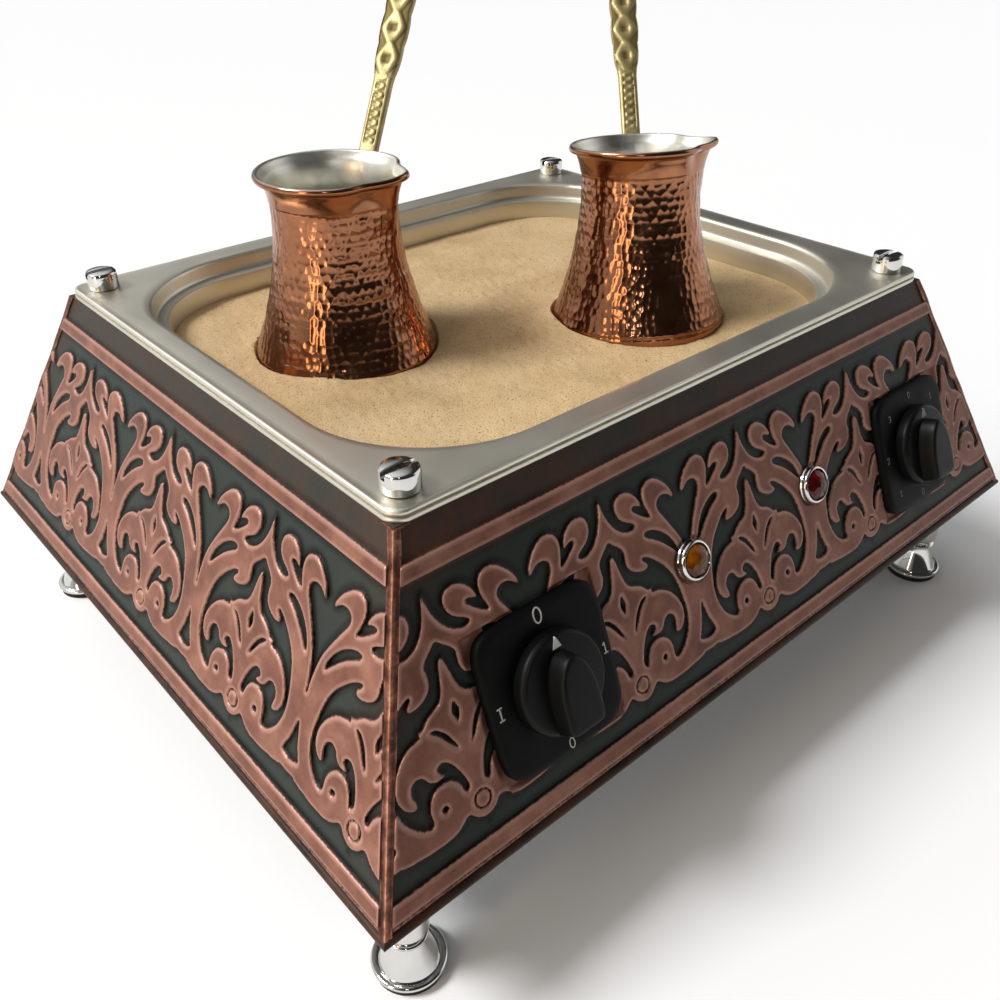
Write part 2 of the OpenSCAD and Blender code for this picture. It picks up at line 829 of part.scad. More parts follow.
// A place given on the front panel's slope and depth, as a point of the whole part
function front_point(x, up, out) = [
  x,
  -bot_d / 2 + up * sin(lean) - out * cos(lean),
  foot_h + up * cos(lean) + out * sin(lean)
];
function rear_point(x, up, out) = [
  -x,
  bot_d / 2 - up * sin(lean) + out * cos(lean),
  foot_h + up * cos(lean) + out * sin(lean)
];

// One insulated wire through a list of points, with a bead of insulation at each bend
module wire(points) {
  d = 3;
  for (k = [0:len(points) - 2]) bar_between(points[k], points[k + 1], d);
  for (k = [1:len(points) - 2]) translate(points[k]) sphere(d = d + 0.3);
}

// Wires from the gland to the terminals, from the terminals to the switches, and from the lamps
module wiring() {
  low = base_top + 5;
  back_y = block_y - block_w / 2 - 5;
  front_y = -bot_d / 2 + harness_in;
  gland_end = rear_point(gland_x, gland_up, -sheet_t - gland_reach - 0.6);
  feed = [gland_end.x, block_y, low + 6];
  block_end = block_x + block_l / 2 + 0.6;
  outer = 1.5 * block_l / 4;
  drop = block_w / 2;
  switch_back = -sheet_t - switch_deep - 0.6;
  holder_back = -sheet_t - holder_deep - 0.6;
  left_end = front_point(left_switch_x, switch_up, switch_back);
  right_end = front_point(right_switch_x, switch_up, switch_back);
  amber_end = front_point(amber_lamp_x, lamp_up, holder_back);
  red_end = front_point(red_lamp_x, lamp_up, holder_back);
  color([0.75, 0.72, 0.62]) {
    wire([gland_end, [gland_end.x, gland_end.y - 12, gland_end.z - 8], feed,
          [block_end, block_y, low + 6]]);
    wire([[block_x - outer, back_y + 4.4, low], [block_x - outer, back_y - drop, low],
          [left_end.x, front_y, low], [left_end.x, left_end.y + 8, low + 6], left_end]);
    wire([[block_x + outer, back_y + 4.4, low], [block_x + outer, back_y - drop, low],
          [right_end.x, front_y, low], [right_end.x, right_end.y + 8, low + 6], right_end]);
    wire([[amber_end.x, amber_end.y, amber_end.z], [amber_end.x, amber_end.y + 10, amber_end.z - 8],
          [amber_end.x, front_y + 10, low]]);
    wire([[red_end.x, red_end.y, red_end.z], [red_end.x, red_end.y + 10, red_end.z - 8],
          [red_end.x, front_y + 10, low]]);
  }
}

// A square switch plate with the recess that hides the bush nut
module switch_plate(x) {
  color(black) on_side(0, x, switch_up) difference() {
    linear_extrude(plate_t) rounded_rect(plate_w, plate_w, plate_r);
    translate([0, 0, -cut]) cylinder(d = recess_d, h = nut_t + hole_gap + cut);
    cylinder(d = shaft_d + 2, h = plate_t + cut);
  }
}

// The switch behind the panel, with its threaded bush through the panel
module switch_body(x) {
  color([0.2, 0.2, 0.2]) on_side(0, x, switch_up) difference() {
    union() {
      translate([-switch_w / 2, -switch_w / 2, -sheet_t - switch_deep])
        cube([switch_w, switch_w, switch_deep]);
      translate([0, 0, -sheet_t - cut]) cylinder(d = bush_d, h = sheet_t + cut + nut_t);
    }
    translate([0, 0, -sheet_t - shaft_in_body])
      cylinder(d = shaft_d + 2 * run_gap, h = shaft_in_body + sheet_t + nut_t + cut);
  }
}

module switch_nut(x) {
  color(steel) on_side(0, x, switch_up) hex_nut(switch_nut_af, bush_d + hole_gap, nut_t);
}

module switch_shaft(x) {
  start = -sheet_t - shaft_in_body + run_gap;
  color(steel) on_side(0, x, switch_up) translate([0, 0, start])
    cylinder(d = shaft_d, h = plate_t + knob_gap + shaft_in_knob - start);
}

// A round knob whose grip is broad below and ends in an arch under its pointer
module knob(x) {
  r = knob_d / 2;
  edge = 1.5;
  grip_reach = r - 2.5;
  grip_half = 0.47 * r;
  arch_from = -0.35 * r;
  arch_top = 0.66 * r;
  arch = [for (a = [0:15:180]) [grip_half * cos(a), arch_from + (arch_top - arch_from) * sin(a)]];
  z = plate_t + knob_gap;
  color(black) on_side(0, x, switch_up) translate([0, 0, z]) difference() {
    union() {
      rotate_extrude() polygon([[0, 0], [r, 0], [r, skirt_h - edge], [r - edge, skirt_h], [0, skirt_h]]);
      intersection() {
        linear_extrude(skirt_h + grip_h)
          polygon(concat(arch, [[-grip_half, -grip_reach], [grip_half, -grip_reach]]));
        cylinder(r1 = grip_reach + 2, r2 = grip_reach - 1.5, h = skirt_h + grip_h + cut);
      }
    }
    translate([0, 0, -cut]) cylinder(d = shaft_d + 2 * run_gap, h = shaft_in_knob + run_gap + cut);
  }
}

module left_switch_plate() { switch_plate(left_switch_x); }
module left_switch_body() { switch_body(left_switch_x); }
module left_switch_nut() { switch_nut(left_switch_x); }
module left_switch_shaft() { switch_shaft(left_switch_x); }
module left_knob() { knob(left_switch_x); }
module right_switch_plate() { switch_plate(right_switch_x); }
module right_switch_body() { switch_body(right_switch_x); }
module right_switch_nut() { switch_nut(right_switch_x); }
module right_switch_shaft() { switch_shaft(right_switch_x); }
module right_knob() { knob(right_switch_x); }

module lamp_bezel(x) {
  r = bezel_d / 2;
  inner = lens_d / 2 + hole_gap;
  flank = 1.2;
  draft = 0.8;
  edge = 1;
  color(chrome_tone) on_side(0, x, lamp_up) rotate_extrude() polygon([
    [inner, 0], [r, 0], [r, flank], [r - draft, bezel_h - edge],
    [r - draft - 0.6 * edge, bezel_h], [inner, bezel_h]
  ]);
}

// A domed lens that sits on the holder, inside the bezel
module lamp_lens(x, tone) {
  r = lens_d / 2;
  dome = 2.5;
  ball = (r * r + dome * dome) / (2 * dome);
  color(tone) on_side(0, x, lamp_up) {
    cylinder(r = r, h = bezel_h);
    intersection() {
      translate([0, 0, bezel_h + dome - ball]) sphere(ball);
      translate([0, 0, bezel_h - 0.5]) cylinder(r = r, h = dome + cut);
    }
  }
}

module lamp_holder(x) {
  color([0.85, 0.85, 0.82]) on_side(0, x, lamp_up)
    translate([0, 0, -sheet_t - holder_deep]) cylinder(d = holder_d, h = sheet_t + holder_deep);
}

module lamp_nut(x) {
  color(steel) on_side(0, x, lamp_up) translate([0, 0, -sheet_t - nut_t])
    hex_nut(lamp_nut_af, holder_d + hole_gap, nut_t);
}

module amber_lamp_bezel() { lamp_bezel(amber_lamp_x); }
module amber_lamp_lens() { lamp_lens(amber_lamp_x, [0.72, 0.4, 0.08]); }
module amber_lamp_holder() { lamp_holder(amber_lamp_x); }
module amber_lamp_nut() { lamp_nut(amber_lamp_x); }
module red_lamp_bezel() { lamp_bezel(red_lamp_x); }
module red_lamp_lens() { lamp_lens(red_lamp_x, [0.5, 0.05, 0.06]); }
module red_lamp_holder() { lamp_holder(red_lamp_x); }
module red_lamp_nut() { lamp_nut(red_lamp_x); }

// Outer radius of a pot at a height above the sand: a flared skirt below the neck, a flared rim above
function pot_r(z) = z < pot_neck_h
  ? pot_neck_r + (pot_base_r - pot_neck_r) * pow((pot_neck_h - max(z, 0)) / pot_neck_h, neck_power)
  : pot_neck_r + (pot_rim_r - pot_neck_r) * pow((z - pot_neck_h) / (pot_h - pot_neck_h), rim_power);

// Outline of a pot's outside, or of its inside when wall is its thickness
function pot_outline(wall) = concat(
  [[0, wall - pot_bury]],
  [for (k = [0:4]) [
    pot_base_r - base_round + (base_round - wall) * sin(90 * k / 4),
    base_round - pot_bury - (base_round - wall) * cos(90 * k / 4)
  ]],
  [for (k = [0:profile_steps]) let (z = pot_neck_h * k / profile_steps) [pot_r(z) - wall, z]],
  [for (k = [1:5]) let (z = pot_neck_h + (pot_h - pot_neck_h) * k / 5) [pot_r(z) - wall, z]],
  [[0, pot_h]]
);

// The funnel of the spout, on the pot's -Y side
module spout_funnel(wall) {
  top_y = pot_rim_r + spout_out - spout_r;
  low_r = 4;
  low_y = pot_neck_r - low_r + 0.5;
  tilt = atan((top_y - low_y) / spout_drop);
  intersection() {
    translate([0, -low_y, pot_h - spout_drop]) rotate([tilt, 0, 0])
      cylinder(r1 = low_r - wall, r2 = spout_r - wall, h = spout_drop / cos(tilt) + 2);
    translate([0, 0, pot_h - spout_drop]) cylinder(r = 2 * pot_rim_r, h = spout_drop);
  }
}

module cezve_pot() {
  color(copper) difference() {
    union() {
      rotate_extrude() polygon(pot_outline(0));
      spout_funnel(0);
    }
    rotate_extrude() polygon(concat(
      pot_outline(pot_t),
      [[pot_rim_r - pot_t, pot_h], [pot_rim_r - pot_t, pot_h + cut], [0, pot_h + cut]]
    ));
    spout_funnel(pot_t);
    rivet_holes();
  }
}

// Rivets run along +X through the handle's plate and the pot's neck
function rivet_z(k) = pot_neck_h - rivet_low + k * rivet_gap;

module rivet_holes() {
  for (k = [0, 1]) translate([0, 0, rivet_z(k)]) rotate([0, 90, 0])
    cylinder(d = rivet_d + hole_gap, h = 2 * handle_seat);
}

module cezve_rivets() {
  head_d = 1.7 * rivet_d;
  head_h = 1.4;
  outer_seat = handle_seat + handle_plate_t;
  color(copper) for (k = [0, 1]) {
    wall_r = pot_r(rivet_z(k) + head_d / 2) - pot_t;
    inner_head = sqrt(wall_r * wall_r - head_d * head_d / 4) - free_gap;
    translate([0, 0, rivet_z(k)]) rotate([0, 90, 0]) {
      translate([0, 0, inner_head - head_h]) cylinder(d = head_d, h = head_h);
      translate([0, 0, inner_head - 0.5]) cylinder(d = rivet_d, h = outer_seat - inner_head + 1);
      translate([0, 0, outer_seat]) cylinder(d1 = head_d, d2 = 0.6 * head_d, h = head_h);
    }
  }
}

// The cast handle: a riveted plate on the neck, a root that clears the rim, and the arm
module cezve_handle() {
  plate_z = pot_neck_h - handle_plate_low;
  root = [pot_rim_r + 2.6 + handle_t / 2, pot_h - 1];
  arm_start = 0.28 * handle_len;
  arm_broad = 0.5 * handle_len;
  half = handle_w / 2;
  broad = handle_broad_w / 2;
  plate_edge = 1.5;
  plate_top = plate_z + handle_plate_h;
  neck_x = handle_seat + handle_plate_t;
  neck_in = 0.6;
  neck_out = 2.2;
  neck_low = plate_top - 6;
  side = handle_t * sin(handle_rise) / 2;
  lift = handle_t * cos(handle_rise) / 2;
  into_arm = 1.5;
  color(brass_tone) difference() {
    union() {
      translate([handle_seat, -half - plate_edge, plate_z])
        cube([handle_plate_t, handle_w + 2 * plate_edge, handle_plate_h]);
      translate([0, half, 0]) rotate([90, 0, 0]) linear_extrude(handle_w) polygon([
        [neck_x - neck_in, neck_low],
        [neck_x + neck_out, neck_low],
        [root.x + side + 1, root.y - lift],
        [root.x + into_arm * cos(handle_rise), root.y + into_arm * sin(handle_rise)],
        [root.x - side, root.y + lift],
        [neck_x - neck_in, plate_top]
      ]);
      translate([root.x, 0, root.y]) rotate([0, -handle_rise, 0]) translate([0, 0, -handle_t / 2])
        linear_extrude(handle_t) {
          polygon([
            [0, -half], [arm_start, -half], [arm_broad, -broad], [handle_len - broad, -broad],
            [handle_len - broad, broad], [arm_broad, broad], [arm_start, half], [0, half]
          ]);
          translate([handle_len - broad, 0]) circle(broad);
        }
    }
    rivet_holes();
  }
}

module left_cezve_pot() { at_left_cezve() cezve_pot(); }
module left_cezve_handle() { at_left_cezve() cezve_handle(); }
module left_cezve_rivets() { at_left_cezve() cezve_rivets(); }
module right_cezve_pot() { at_right_cezve() cezve_pot(); }
module right_cezve_handle() { at_right_cezve() cezve_handle(); }
module right_cezve_rivets() { at_right_cezve() cezve_rivets(); }

front_panel();
rear_panel();
left_panel();
right_panel();
corner_seams();
corner_gussets();
base_plate();
base_screws();
foot_front_left();
foot_front_right();
foot_rear_left();
foot_rear_right();
foot_pads();
foot_nuts();
sand_pan();
sand_bed();
pan_screws();
heating_element();
element_pins();
clamp_bars();
heater_studs();
heater_nuts();
insulation_board();
heat_shield();
thermal_cutout();
terminal_block();
terminal_screws();
earth_stud();
cable_gland();
gland_cap();
gland_locknut();
wiring();
left_switch_plate();
left_switch_body();
left_switch_nut();
left_switch_shaft();
left_knob();
right_switch_plate();
right_switch_body();
right_switch_nut();
right_switch_shaft();
right_knob();
amber_lamp_bezel();
amber_lamp_lens();
amber_lamp_holder();
amber_lamp_nut();
red_lamp_bezel();
red_lamp_lens();
red_lamp_holder();
red_lamp_nut();
left_cezve_pot();
left_cezve_handle();
left_cezve_rivets();
right_cezve_pot();
right_cezve_handle();
right_cezve_rivets();
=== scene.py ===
"""An electric sand heater in an embossed copper casing, with two hammered copper cezves in its sand.

Lengths are in millimetres; make_piece turns them into metres. The front panel faces -Y.
"""
import json
import math

import bpy
import numpy as np
from mathutils import Matrix, Vector


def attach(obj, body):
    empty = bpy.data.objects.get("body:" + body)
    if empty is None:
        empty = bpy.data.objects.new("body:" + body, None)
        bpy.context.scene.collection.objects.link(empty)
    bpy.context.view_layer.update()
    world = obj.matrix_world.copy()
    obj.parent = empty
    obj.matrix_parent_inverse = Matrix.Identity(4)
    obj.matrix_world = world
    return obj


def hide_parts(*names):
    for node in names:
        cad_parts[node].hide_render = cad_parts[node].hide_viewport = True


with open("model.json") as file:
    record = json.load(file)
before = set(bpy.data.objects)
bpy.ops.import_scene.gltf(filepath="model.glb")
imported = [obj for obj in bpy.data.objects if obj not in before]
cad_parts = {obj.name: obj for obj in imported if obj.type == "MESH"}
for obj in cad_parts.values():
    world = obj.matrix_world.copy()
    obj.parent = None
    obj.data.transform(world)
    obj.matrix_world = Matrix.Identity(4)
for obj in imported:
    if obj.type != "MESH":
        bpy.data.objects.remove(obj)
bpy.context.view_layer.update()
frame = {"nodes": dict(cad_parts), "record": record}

MM = 0.001
CORNERS = ((-1, -1), (1, -1), (1, 1), (-1, 1))
SIDES = ("front", "right", "rear", "left")
FRONT, REAR = 0, 2

# Casing
TOP_W, TOP_D = 325.0, 265.0
CASING_H, FLARE, FOOT_H = 120.0, 50.0, 61.0
SLANT = math.hypot(CASING_H, FLARE)
COS, SIN = CASING_H / SLANT, FLARE / SLANT
BOT_W, BOT_D = TOP_W + 2 * FLARE, TOP_D + 2 * FLARE
CASING_TOP = FOOT_H + CASING_H
SHEET = 1.5
SHEET_LEVEL = SHEET / COS
BEAD_R = 2.0
RETURN_W = 10.0
SEAM_W, SEAM_T = 2.6, 0.9

# Pan and sand
FLANGE_TOP = CASING_TOP + 4.5
SAND_Z = FLANGE_TOP - 19.0
PAN_Z = FLANGE_TOP - 65.0
SHOULDER_Z = FLANGE_TOP - 8.5
MOUTH_W, MOUTH_R = 297.0, 60.0
WELL_W, WELL_D, WELL_R = 285.0, 225.0, 54.0
SCREW_X, SCREW_Y = TOP_W / 2 - 12, TOP_D / 2 - 12
SCREW_R, SCREW_H, SLOT = 7.2, 9.0, 2.4

# Controls, placed on the front panel's slope
SWITCH_UP, SWITCH_X = 53.5, {"left": -121.0, "right": 131.0}
LAMP_UP, LAMP_X, BEZEL_R = 63.5, {"amber": -37.0, "red": 48.0}, 9.2
GLAND_UP, GLAND_X, GLAND_R = 56.0, -120.0, 12.6
PLATE_W, PLATE_T, KNOB_R = 60.0, 4.5, 20.0
KNOB_OUT, SKIRT_H, GRIP_H = PLATE_T + 0.5, 6.0, 7.6

# Cezves
POT_H, POT_BURY, POT_WALL = 81.0, 6.0, 1.2
POT_BASE_R, POT_NECK_R, POT_NECK_H, POT_RIM_R = 43.0, 28.0, 66.0, 32.4
HANDLE_LEN, HANDLE_RISE = 118.0, math.radians(52)


def turn(axis, degrees):
    """A 3 by 3 turn about a main axis."""
    return np.array(Matrix.Rotation(math.radians(degrees), 3, axis))


# The right pot leans by LEAN degrees towards LEAN_TO; each pot's handle points its own way
LEAN, LEAN_TO = 6.4, 66
LEFT_TURN, RIGHT_TURN = 29, 49
CEZVES = {
    "left": (np.array([-76.0, 24.0, SAND_Z]), turn("Z", LEFT_TURN)),
    "right": (np.array([53.4, -43.3, SAND_Z]),
              turn("Z", LEAN_TO) @ turn("Y", LEAN) @ turn("Z", RIGHT_TURN - LEAN_TO)),
}


# Mesh tools

def points_at(x, y, z):
    """Points from three arrays of coordinates."""
    return np.stack(np.broadcast_arrays(x, y, z), -1)


def around(count, shift=0.0):
    """Angles of even steps round a circle, moved on by a share of a step."""
    return (np.arange(count) + shift) * 2 * np.pi / count


def boxed(v, power):
    """A sine or cosine to a power, with its sign kept."""
    return np.sign(v) * np.abs(v) ** power


def make_piece(name, body, slot, parts, replaced, sharp, where=None, fields=None, material=None):
    """One object at the origin: parts are (points in mm, list of face arrays), joined one after the other and
    passed through where, a function of place. The material is the slot's unless another is given."""
    starts = np.cumsum([0] + [p.size // 3 for p, _ in parts])
    points = np.concatenate([p.reshape(-1, 3) for p, _ in parts])
    points = MM * (where(points) if where else points)
    faces = [row for (_, arrays), k in zip(parts, starts) for a in arrays for row in (a + k).tolist()]
    mesh = bpy.data.meshes.new(name)
    mesh.from_pydata(points.tolist(), [], faces)
    for key, values in (fields or {}).items():
        field = mesh.attributes.new(key, "FLOAT", "POINT")
        field.data.foreach_set("value", np.ravel(values).astype(np.float32))
    mesh.shade_smooth()
    mesh.set_sharp_from_angle(angle=math.radians(sharp))
    mesh.materials.append(material or FINISH[slot])
    obj = bpy.data.objects.new(name, mesh)
    bpy.context.scene.collection.objects.link(obj)
    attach(obj, body)
    if replaced:
        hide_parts(*replaced)


def quads(rows, cols, wrap_rows=False, wrap_cols=True):
    """Four-sided faces between neighbours of a grid of points that is numbered row by row."""
    row_steps = np.arange(rows if wrap_rows else rows - 1)
    col_steps = np.arange(cols if wrap_cols else cols - 1)
    r, c = np.meshgrid(row_steps, col_steps, indexing="ij")
    r1, c1 = (r + 1) % rows, (c + 1) % cols
    return np.stack([r * cols + c, r * cols + c1, r1 * cols + c1, r1 * cols + c], -1).reshape(-1, 4)


def shell(rings):
    """Rings of points, one after the other, closed at both ends by a fan about the end ring's middle."""
    rows, cols = rings.shape[:2]
    points = np.concatenate([rings.reshape(-1, 3), rings[:1].mean(1), rings[-1:].mean(1)])
    c = np.arange(cols)
    n, last = (c + 1) % cols, (rows - 1) * cols
    first_fan = np.stack([np.full(cols, rows * cols), n, c], 1)
    last_fan = np.stack([last + c, last + n, np.full(cols, rows * cols + 1)], 1)
    return points, [quads(rows, cols), first_fan, last_fan]


def hoop(rings):
    """Rings of points whose last ring joins the first one again."""
    return rings.reshape(-1, 3), [quads(*rings.shape[:2], wrap_rows=True)]


def rounded(line, size, steps):
    """A line of 2D points whose inner corners become curves, from a point before each to one after it."""
    line = np.asarray(line, float)
    size = np.broadcast_to(size, len(line) - 2)
    before, here, after = line[:-2], line[1:-1], line[2:]
    most = 0.48
    a, b = (here + way * np.minimum(size / np.linalg.norm(way, axis=1), most)[:, None]
            for way in (before - here, after - here))
    u = np.linspace(0, 1, steps)[None, :, None]
    bend = a[:, None] * (1 - u) ** 2 + 2 * here[:, None] * u * (1 - u) + b[:, None] * u ** 2
    return np.concatenate([line[:1], bend.reshape(-1, 2), line[-1:]])


def turned(profile, cols=96):
    """A profile of (radius, height) carried round the Z axis."""
    angle = around(cols)
    r, z = np.asarray(profile, float).T[:, :, None]
    return points_at(r * np.cos(angle), r * np.sin(angle), z)


def rect_rings(w, d, r, z, arc, side):
    """Rounded rectangles, one for each entry of w, d, r and z: a quarter circle of arc points at each corner
    and a straight run of side points to the next one."""
    w, d, r, z = (np.asarray(v, float)[:, None] for v in np.broadcast_arrays(w, d, r, z))
    run = np.linspace(0, 1, side + 2)[1:-1]
    corners = CORNERS[2:] + CORNERS[:2]
    xs, ys = [], []
    for k, (sx, sy) in enumerate(corners):
        nx, ny = corners[(k + 1) % 4]
        angle = np.linspace(0, np.pi / 2, arc) + k * np.pi / 2
        x, y = sx * (w / 2 - r) + r * np.cos(angle), sy * (d / 2 - r) + r * np.sin(angle)
        step_x, step_y = (nx - sx) * (w / 2 - r), (ny - sy) * (d / 2 - r)
        xs += [x, x[:, -1:] + step_x * run]
        ys += [y, y[:, -1:] + step_y * run]
    return points_at(np.concatenate(xs, 1), np.concatenate(ys, 1), z)


def soft_rings(half, power, z, cols=192):
    """Rings between a circle (power 2) and a soft-cornered square (power 5 and more): cosine and sine to
    the power 2 / p."""
    angle = around(cols, 0.5)
    half, power, z = (np.asarray(v, float)[:, None] for v in np.broadcast_arrays(half, power, z))
    return points_at(half * boxed(np.cos(angle), 2 / power), half * boxed(np.sin(angle), 2 / power), z)


def ribbon(line, half_w, low, high):
    """A flat stroke along a 2D line: a box section turned square to the line at each of its points."""
    line = np.asarray(line, float)
    along = np.gradient(line, axis=0)
    along /= np.linalg.norm(along, axis=1)[:, None]
    off = np.stack([-along[:, 1], along[:, 0]], 1) * half_w
    flat = np.stack([line - off, line - off, line + off, line + off], 1)
    z = np.broadcast_to(np.array([low, high, high, low])[None, :, None], (*flat.shape[:2], 1))
    return shell(np.concatenate([flat, z], -1)[:, ::-1])


def on_front(x, up):
    """The place of points (x to the right, y up the slope, z outwards) about a point of the front panel."""
    def where(p):
        t, n = p[..., 1] + up, p[..., 2]
        return points_at(p[..., 0] + x, -BOT_D / 2 + t * SIN - n * COS, FOOT_H + t * COS + n * SIN)
    return where


def at_cezve(name):
    """The place of points of a pot that is drawn with its axis on Z and the sand at Z = 0."""
    origin, spin = CEZVES[name]
    return lambda p: p @ spin.T + origin


def ease(v, low, high):
    """0 below low, 1 above high and a smooth S between them."""
    u = np.clip((np.asarray(v, float) - low) / (high - low), 0, 1)
    return u * u * (3 - 2 * u)


def waves(x, y, size, count=9, seed=3):
    """A soft uneven surface, about -1 to 1: a sum of sine waves in all directions, with lengths near size."""
    rng = np.random.default_rng(seed)
    ranges = ((0, np.pi), (0.6, 1.7), (0, 6.28))
    heading, pitch, shift = (rng.uniform(low, high, count) for low, high in ranges)
    total = np.zeros(np.broadcast(x, y).shape)
    for a, f, p in zip(heading, pitch, shift):
        total += np.sin((x * np.cos(a) + y * np.sin(a)) * 2 * np.pi * f / size + p)
    usual_peak = 1.4
    return total / math.sqrt(count) / usual_peak


# Materials

NOISE, RAMP, RANGE = "ShaderNodeTexNoise", "ShaderNodeValToRGB", "ShaderNodeMapRange"
MATH, MIX, BUMP, FIELD = "ShaderNodeMath", "ShaderNodeMix", "ShaderNodeBump", "ShaderNodeAttribute"
COORDS, MAPPING, DOT = "ShaderNodeTexCoord", "ShaderNodeMapping", "ShaderNodeVectorMath"
# Sockets of a range, and the sockets and settings of a mix of two colours
LOW, HIGH, TO_LOW, TO_HIGH = "From Min", "From Max", "To Min", "To Max"
A, B, COLOURS = 6, 7, {"out": 2, "data_type": "RGBA"}
# Most of a noise lies between these values
NOISE_LOW, NOISE_HIGH = 0.3, 0.7
NOISE_SPAN = {LOW: NOISE_LOW, HIGH: NOISE_HIGH}


def linear(code):
    """An sRGB hex colour as linear light."""
    v = np.array([int(code[k:k + 2], 16) / 255 for k in (1, 3, 5)])
    return (*np.where(v <= 0.04045, v / 12.92, ((v + 0.055) / 1.055) ** 2.4), 1.0)


def plug(tree, node, inputs):
    """Gives links, plain values or hex colours to a node's sockets, by name or number."""
    for key, value in inputs.items():
        if isinstance(value, bpy.types.NodeSocket):
            tree.links.new(value, node.inputs[key])
        else:
            node.inputs[key].default_value = linear(value) if isinstance(value, str) else value


def add(tree, kind, inputs=None, stops=(), out=0, **settings):
    """Adds a node and gives one of its outputs; stops are a ramp's places and hex colours."""
    node = tree.nodes.new(kind)
    for key, value in settings.items():
        setattr(node, key, value)
    plug(tree, node, inputs or {})
    if stops:
        elements = node.color_ramp.elements
        while len(elements) < len(stops):
            elements.new(0.5)
        for element, (place, colour) in zip(elements, stops):
            element.position, element.color = place, linear(colour)
    return node.outputs[out]


def start_material(name, blotch=None, fine=None, bump_mm=0.0, stretch=None, **values):
    """A new material, its node tree, its shader with plain values set by name, and two noises in Object
    coordinates, each given as size in mm, detail and roughness. The fine one makes a bump."""
    m = bpy.data.materials.new(name)
    m.use_nodes = True
    t = m.node_tree
    shader = t.nodes["Principled BSDF"]
    plug(t, shader, {key.replace("_", " "): value for key, value in values.items()})
    coords = add(t, COORDS, out="Object")
    if stretch:
        coords = add(t, MAPPING, {"Vector": coords, "Scale": stretch})
    noises = [None, None]
    for k, noise in enumerate((blotch, fine)):
        if noise:
            scale, detail, rough = 1 / (noise[0] * MM), *noise[1:]
            inputs = {"Vector": coords, "Scale": scale, "Detail": detail, "Roughness": rough}
            noises[k] = add(t, NOISE, inputs)
    if bump_mm:
        plug(t, shader, {"Normal": add(t, BUMP, {"Height": noises[1], "Distance": bump_mm * MM})})
    return m, t, shader, *noises


def plain(name, low, high, size_mm, metallic, rough, spread, bump_mm=0.0, bump_size=1.0, stretch=None,
          gloss=0.5):
    """A finish between two colours in blotches, with roughness spread about its middle, and a fine bump."""
    fine = (bump_size, 2.0, 0.5) if bump_mm else None
    m, t, shader, blotch, _ = start_material(
        name, (size_mm, 3.0, 0.55), fine, bump_mm, stretch, Metallic=metallic, Specular_IOR_Level=gloss)
    uneven = {"Value": blotch, **NOISE_SPAN, TO_LOW: rough - spread, TO_HIGH: rough + spread}
    plug(t, shader, {
        "Base Color": add(t, RAMP, {"Fac": blotch}, [(NOISE_LOW, low), (NOISE_HIGH, high)]),
        "Roughness": add(t, RANGE, uneven),
    })
    return m


def embossed_copper():
    """Antiqued copper sheet: pink-brown matt copper on the raised work, lighter along its edges by burnish
    and a painted highlight, and a near-black green patina in the ground, darkened close to the edges by
    painted shade.
    Brown copper shows through along the borders, where the rub attribute is high."""
    m, t, shader, blotch, fine = start_material(
        "antiqued_embossed_copper", (16, 4.0, 0.6), (1.6, 3.0, 0.7), 0.12, Specular_IOR_Level=0.15)
    relief = add(t, FIELD, out="Fac", attribute_name="relief")
    rub = add(t, FIELD, out="Fac", attribute_name="rub")
    wobble = add(t, MATH, {0: fine, 1: 0.8, 2: -0.4}, operation="MULTIPLY_ADD")
    edge = add(t, MATH, {0: relief, 1: wobble}, operation="ADD")
    raised = add(t, RANGE, {"Value": edge, LOW: -0.25, HIGH: 0.25}, interpolation_type="SMOOTHSTEP")
    copper = add(t, RAMP, {"Fac": blotch}, [(0.25, "#67443A"), (0.5, "#8A5D4E"), (0.78, "#AC7D6B")])
    patina = add(t, RAMP, {"Fac": blotch}, [(0.3, "#0D0E0C"), (0.55, "#141613"), (0.8, "#24271F")])
    # Painted shade: the patina is darkest close to the raised edges, where the relief would shade it, and
    # lighter in open ground
    out_of_edge_shade = add(t, RANGE, {"Value": relief, LOW: -0.8, HIGH: -3.4, TO_LOW: 0.0, TO_HIGH: 0.6})
    patina_and_edge_shade = add(t, MIX, {"Factor": out_of_edge_shade, A: patina, B: "#3E4641"}, **COLOURS)
    stain = add(t, RANGE, {"Value": blotch, LOW: 0.3, HIGH: 0.65, TO_LOW: 0.15, TO_HIGH: 1.0})
    show = add(t, MATH, {0: rub, 1: stain}, operation="MULTIPLY")
    ground = add(t, MIX, {"Factor": show, A: patina_and_edge_shade, B: "#573A2E"}, **COLOURS)
    # A lighter band just inside the raised edges: partly burnish and partly a painted highlight
    rim_up = add(t, RANGE, {"Value": edge, LOW: -0.05, HIGH: 0.25})
    rim_down = add(t, RANGE, {"Value": edge, LOW: 0.5, HIGH: 2.0, TO_LOW: 0.75, TO_HIGH: 0.0})
    rim = add(t, MATH, {0: rim_up, 1: rim_down}, operation="MULTIPLY")
    bright = add(t, MIX, {"Factor": rim, A: copper, B: "#C4988A"}, **COLOURS)
    plug(t, shader, {
        "Base Color": add(t, MIX, {"Factor": raised, A: ground, B: bright}, **COLOURS),
        "Metallic": add(t, RANGE, {"Value": raised, TO_LOW: 0.0, TO_HIGH: 0.3}),
        "Roughness": add(t, RANGE, {"Value": blotch, **NOISE_SPAN, TO_LOW: 0.36, TO_HIGH: 0.5}),
    })
    return m


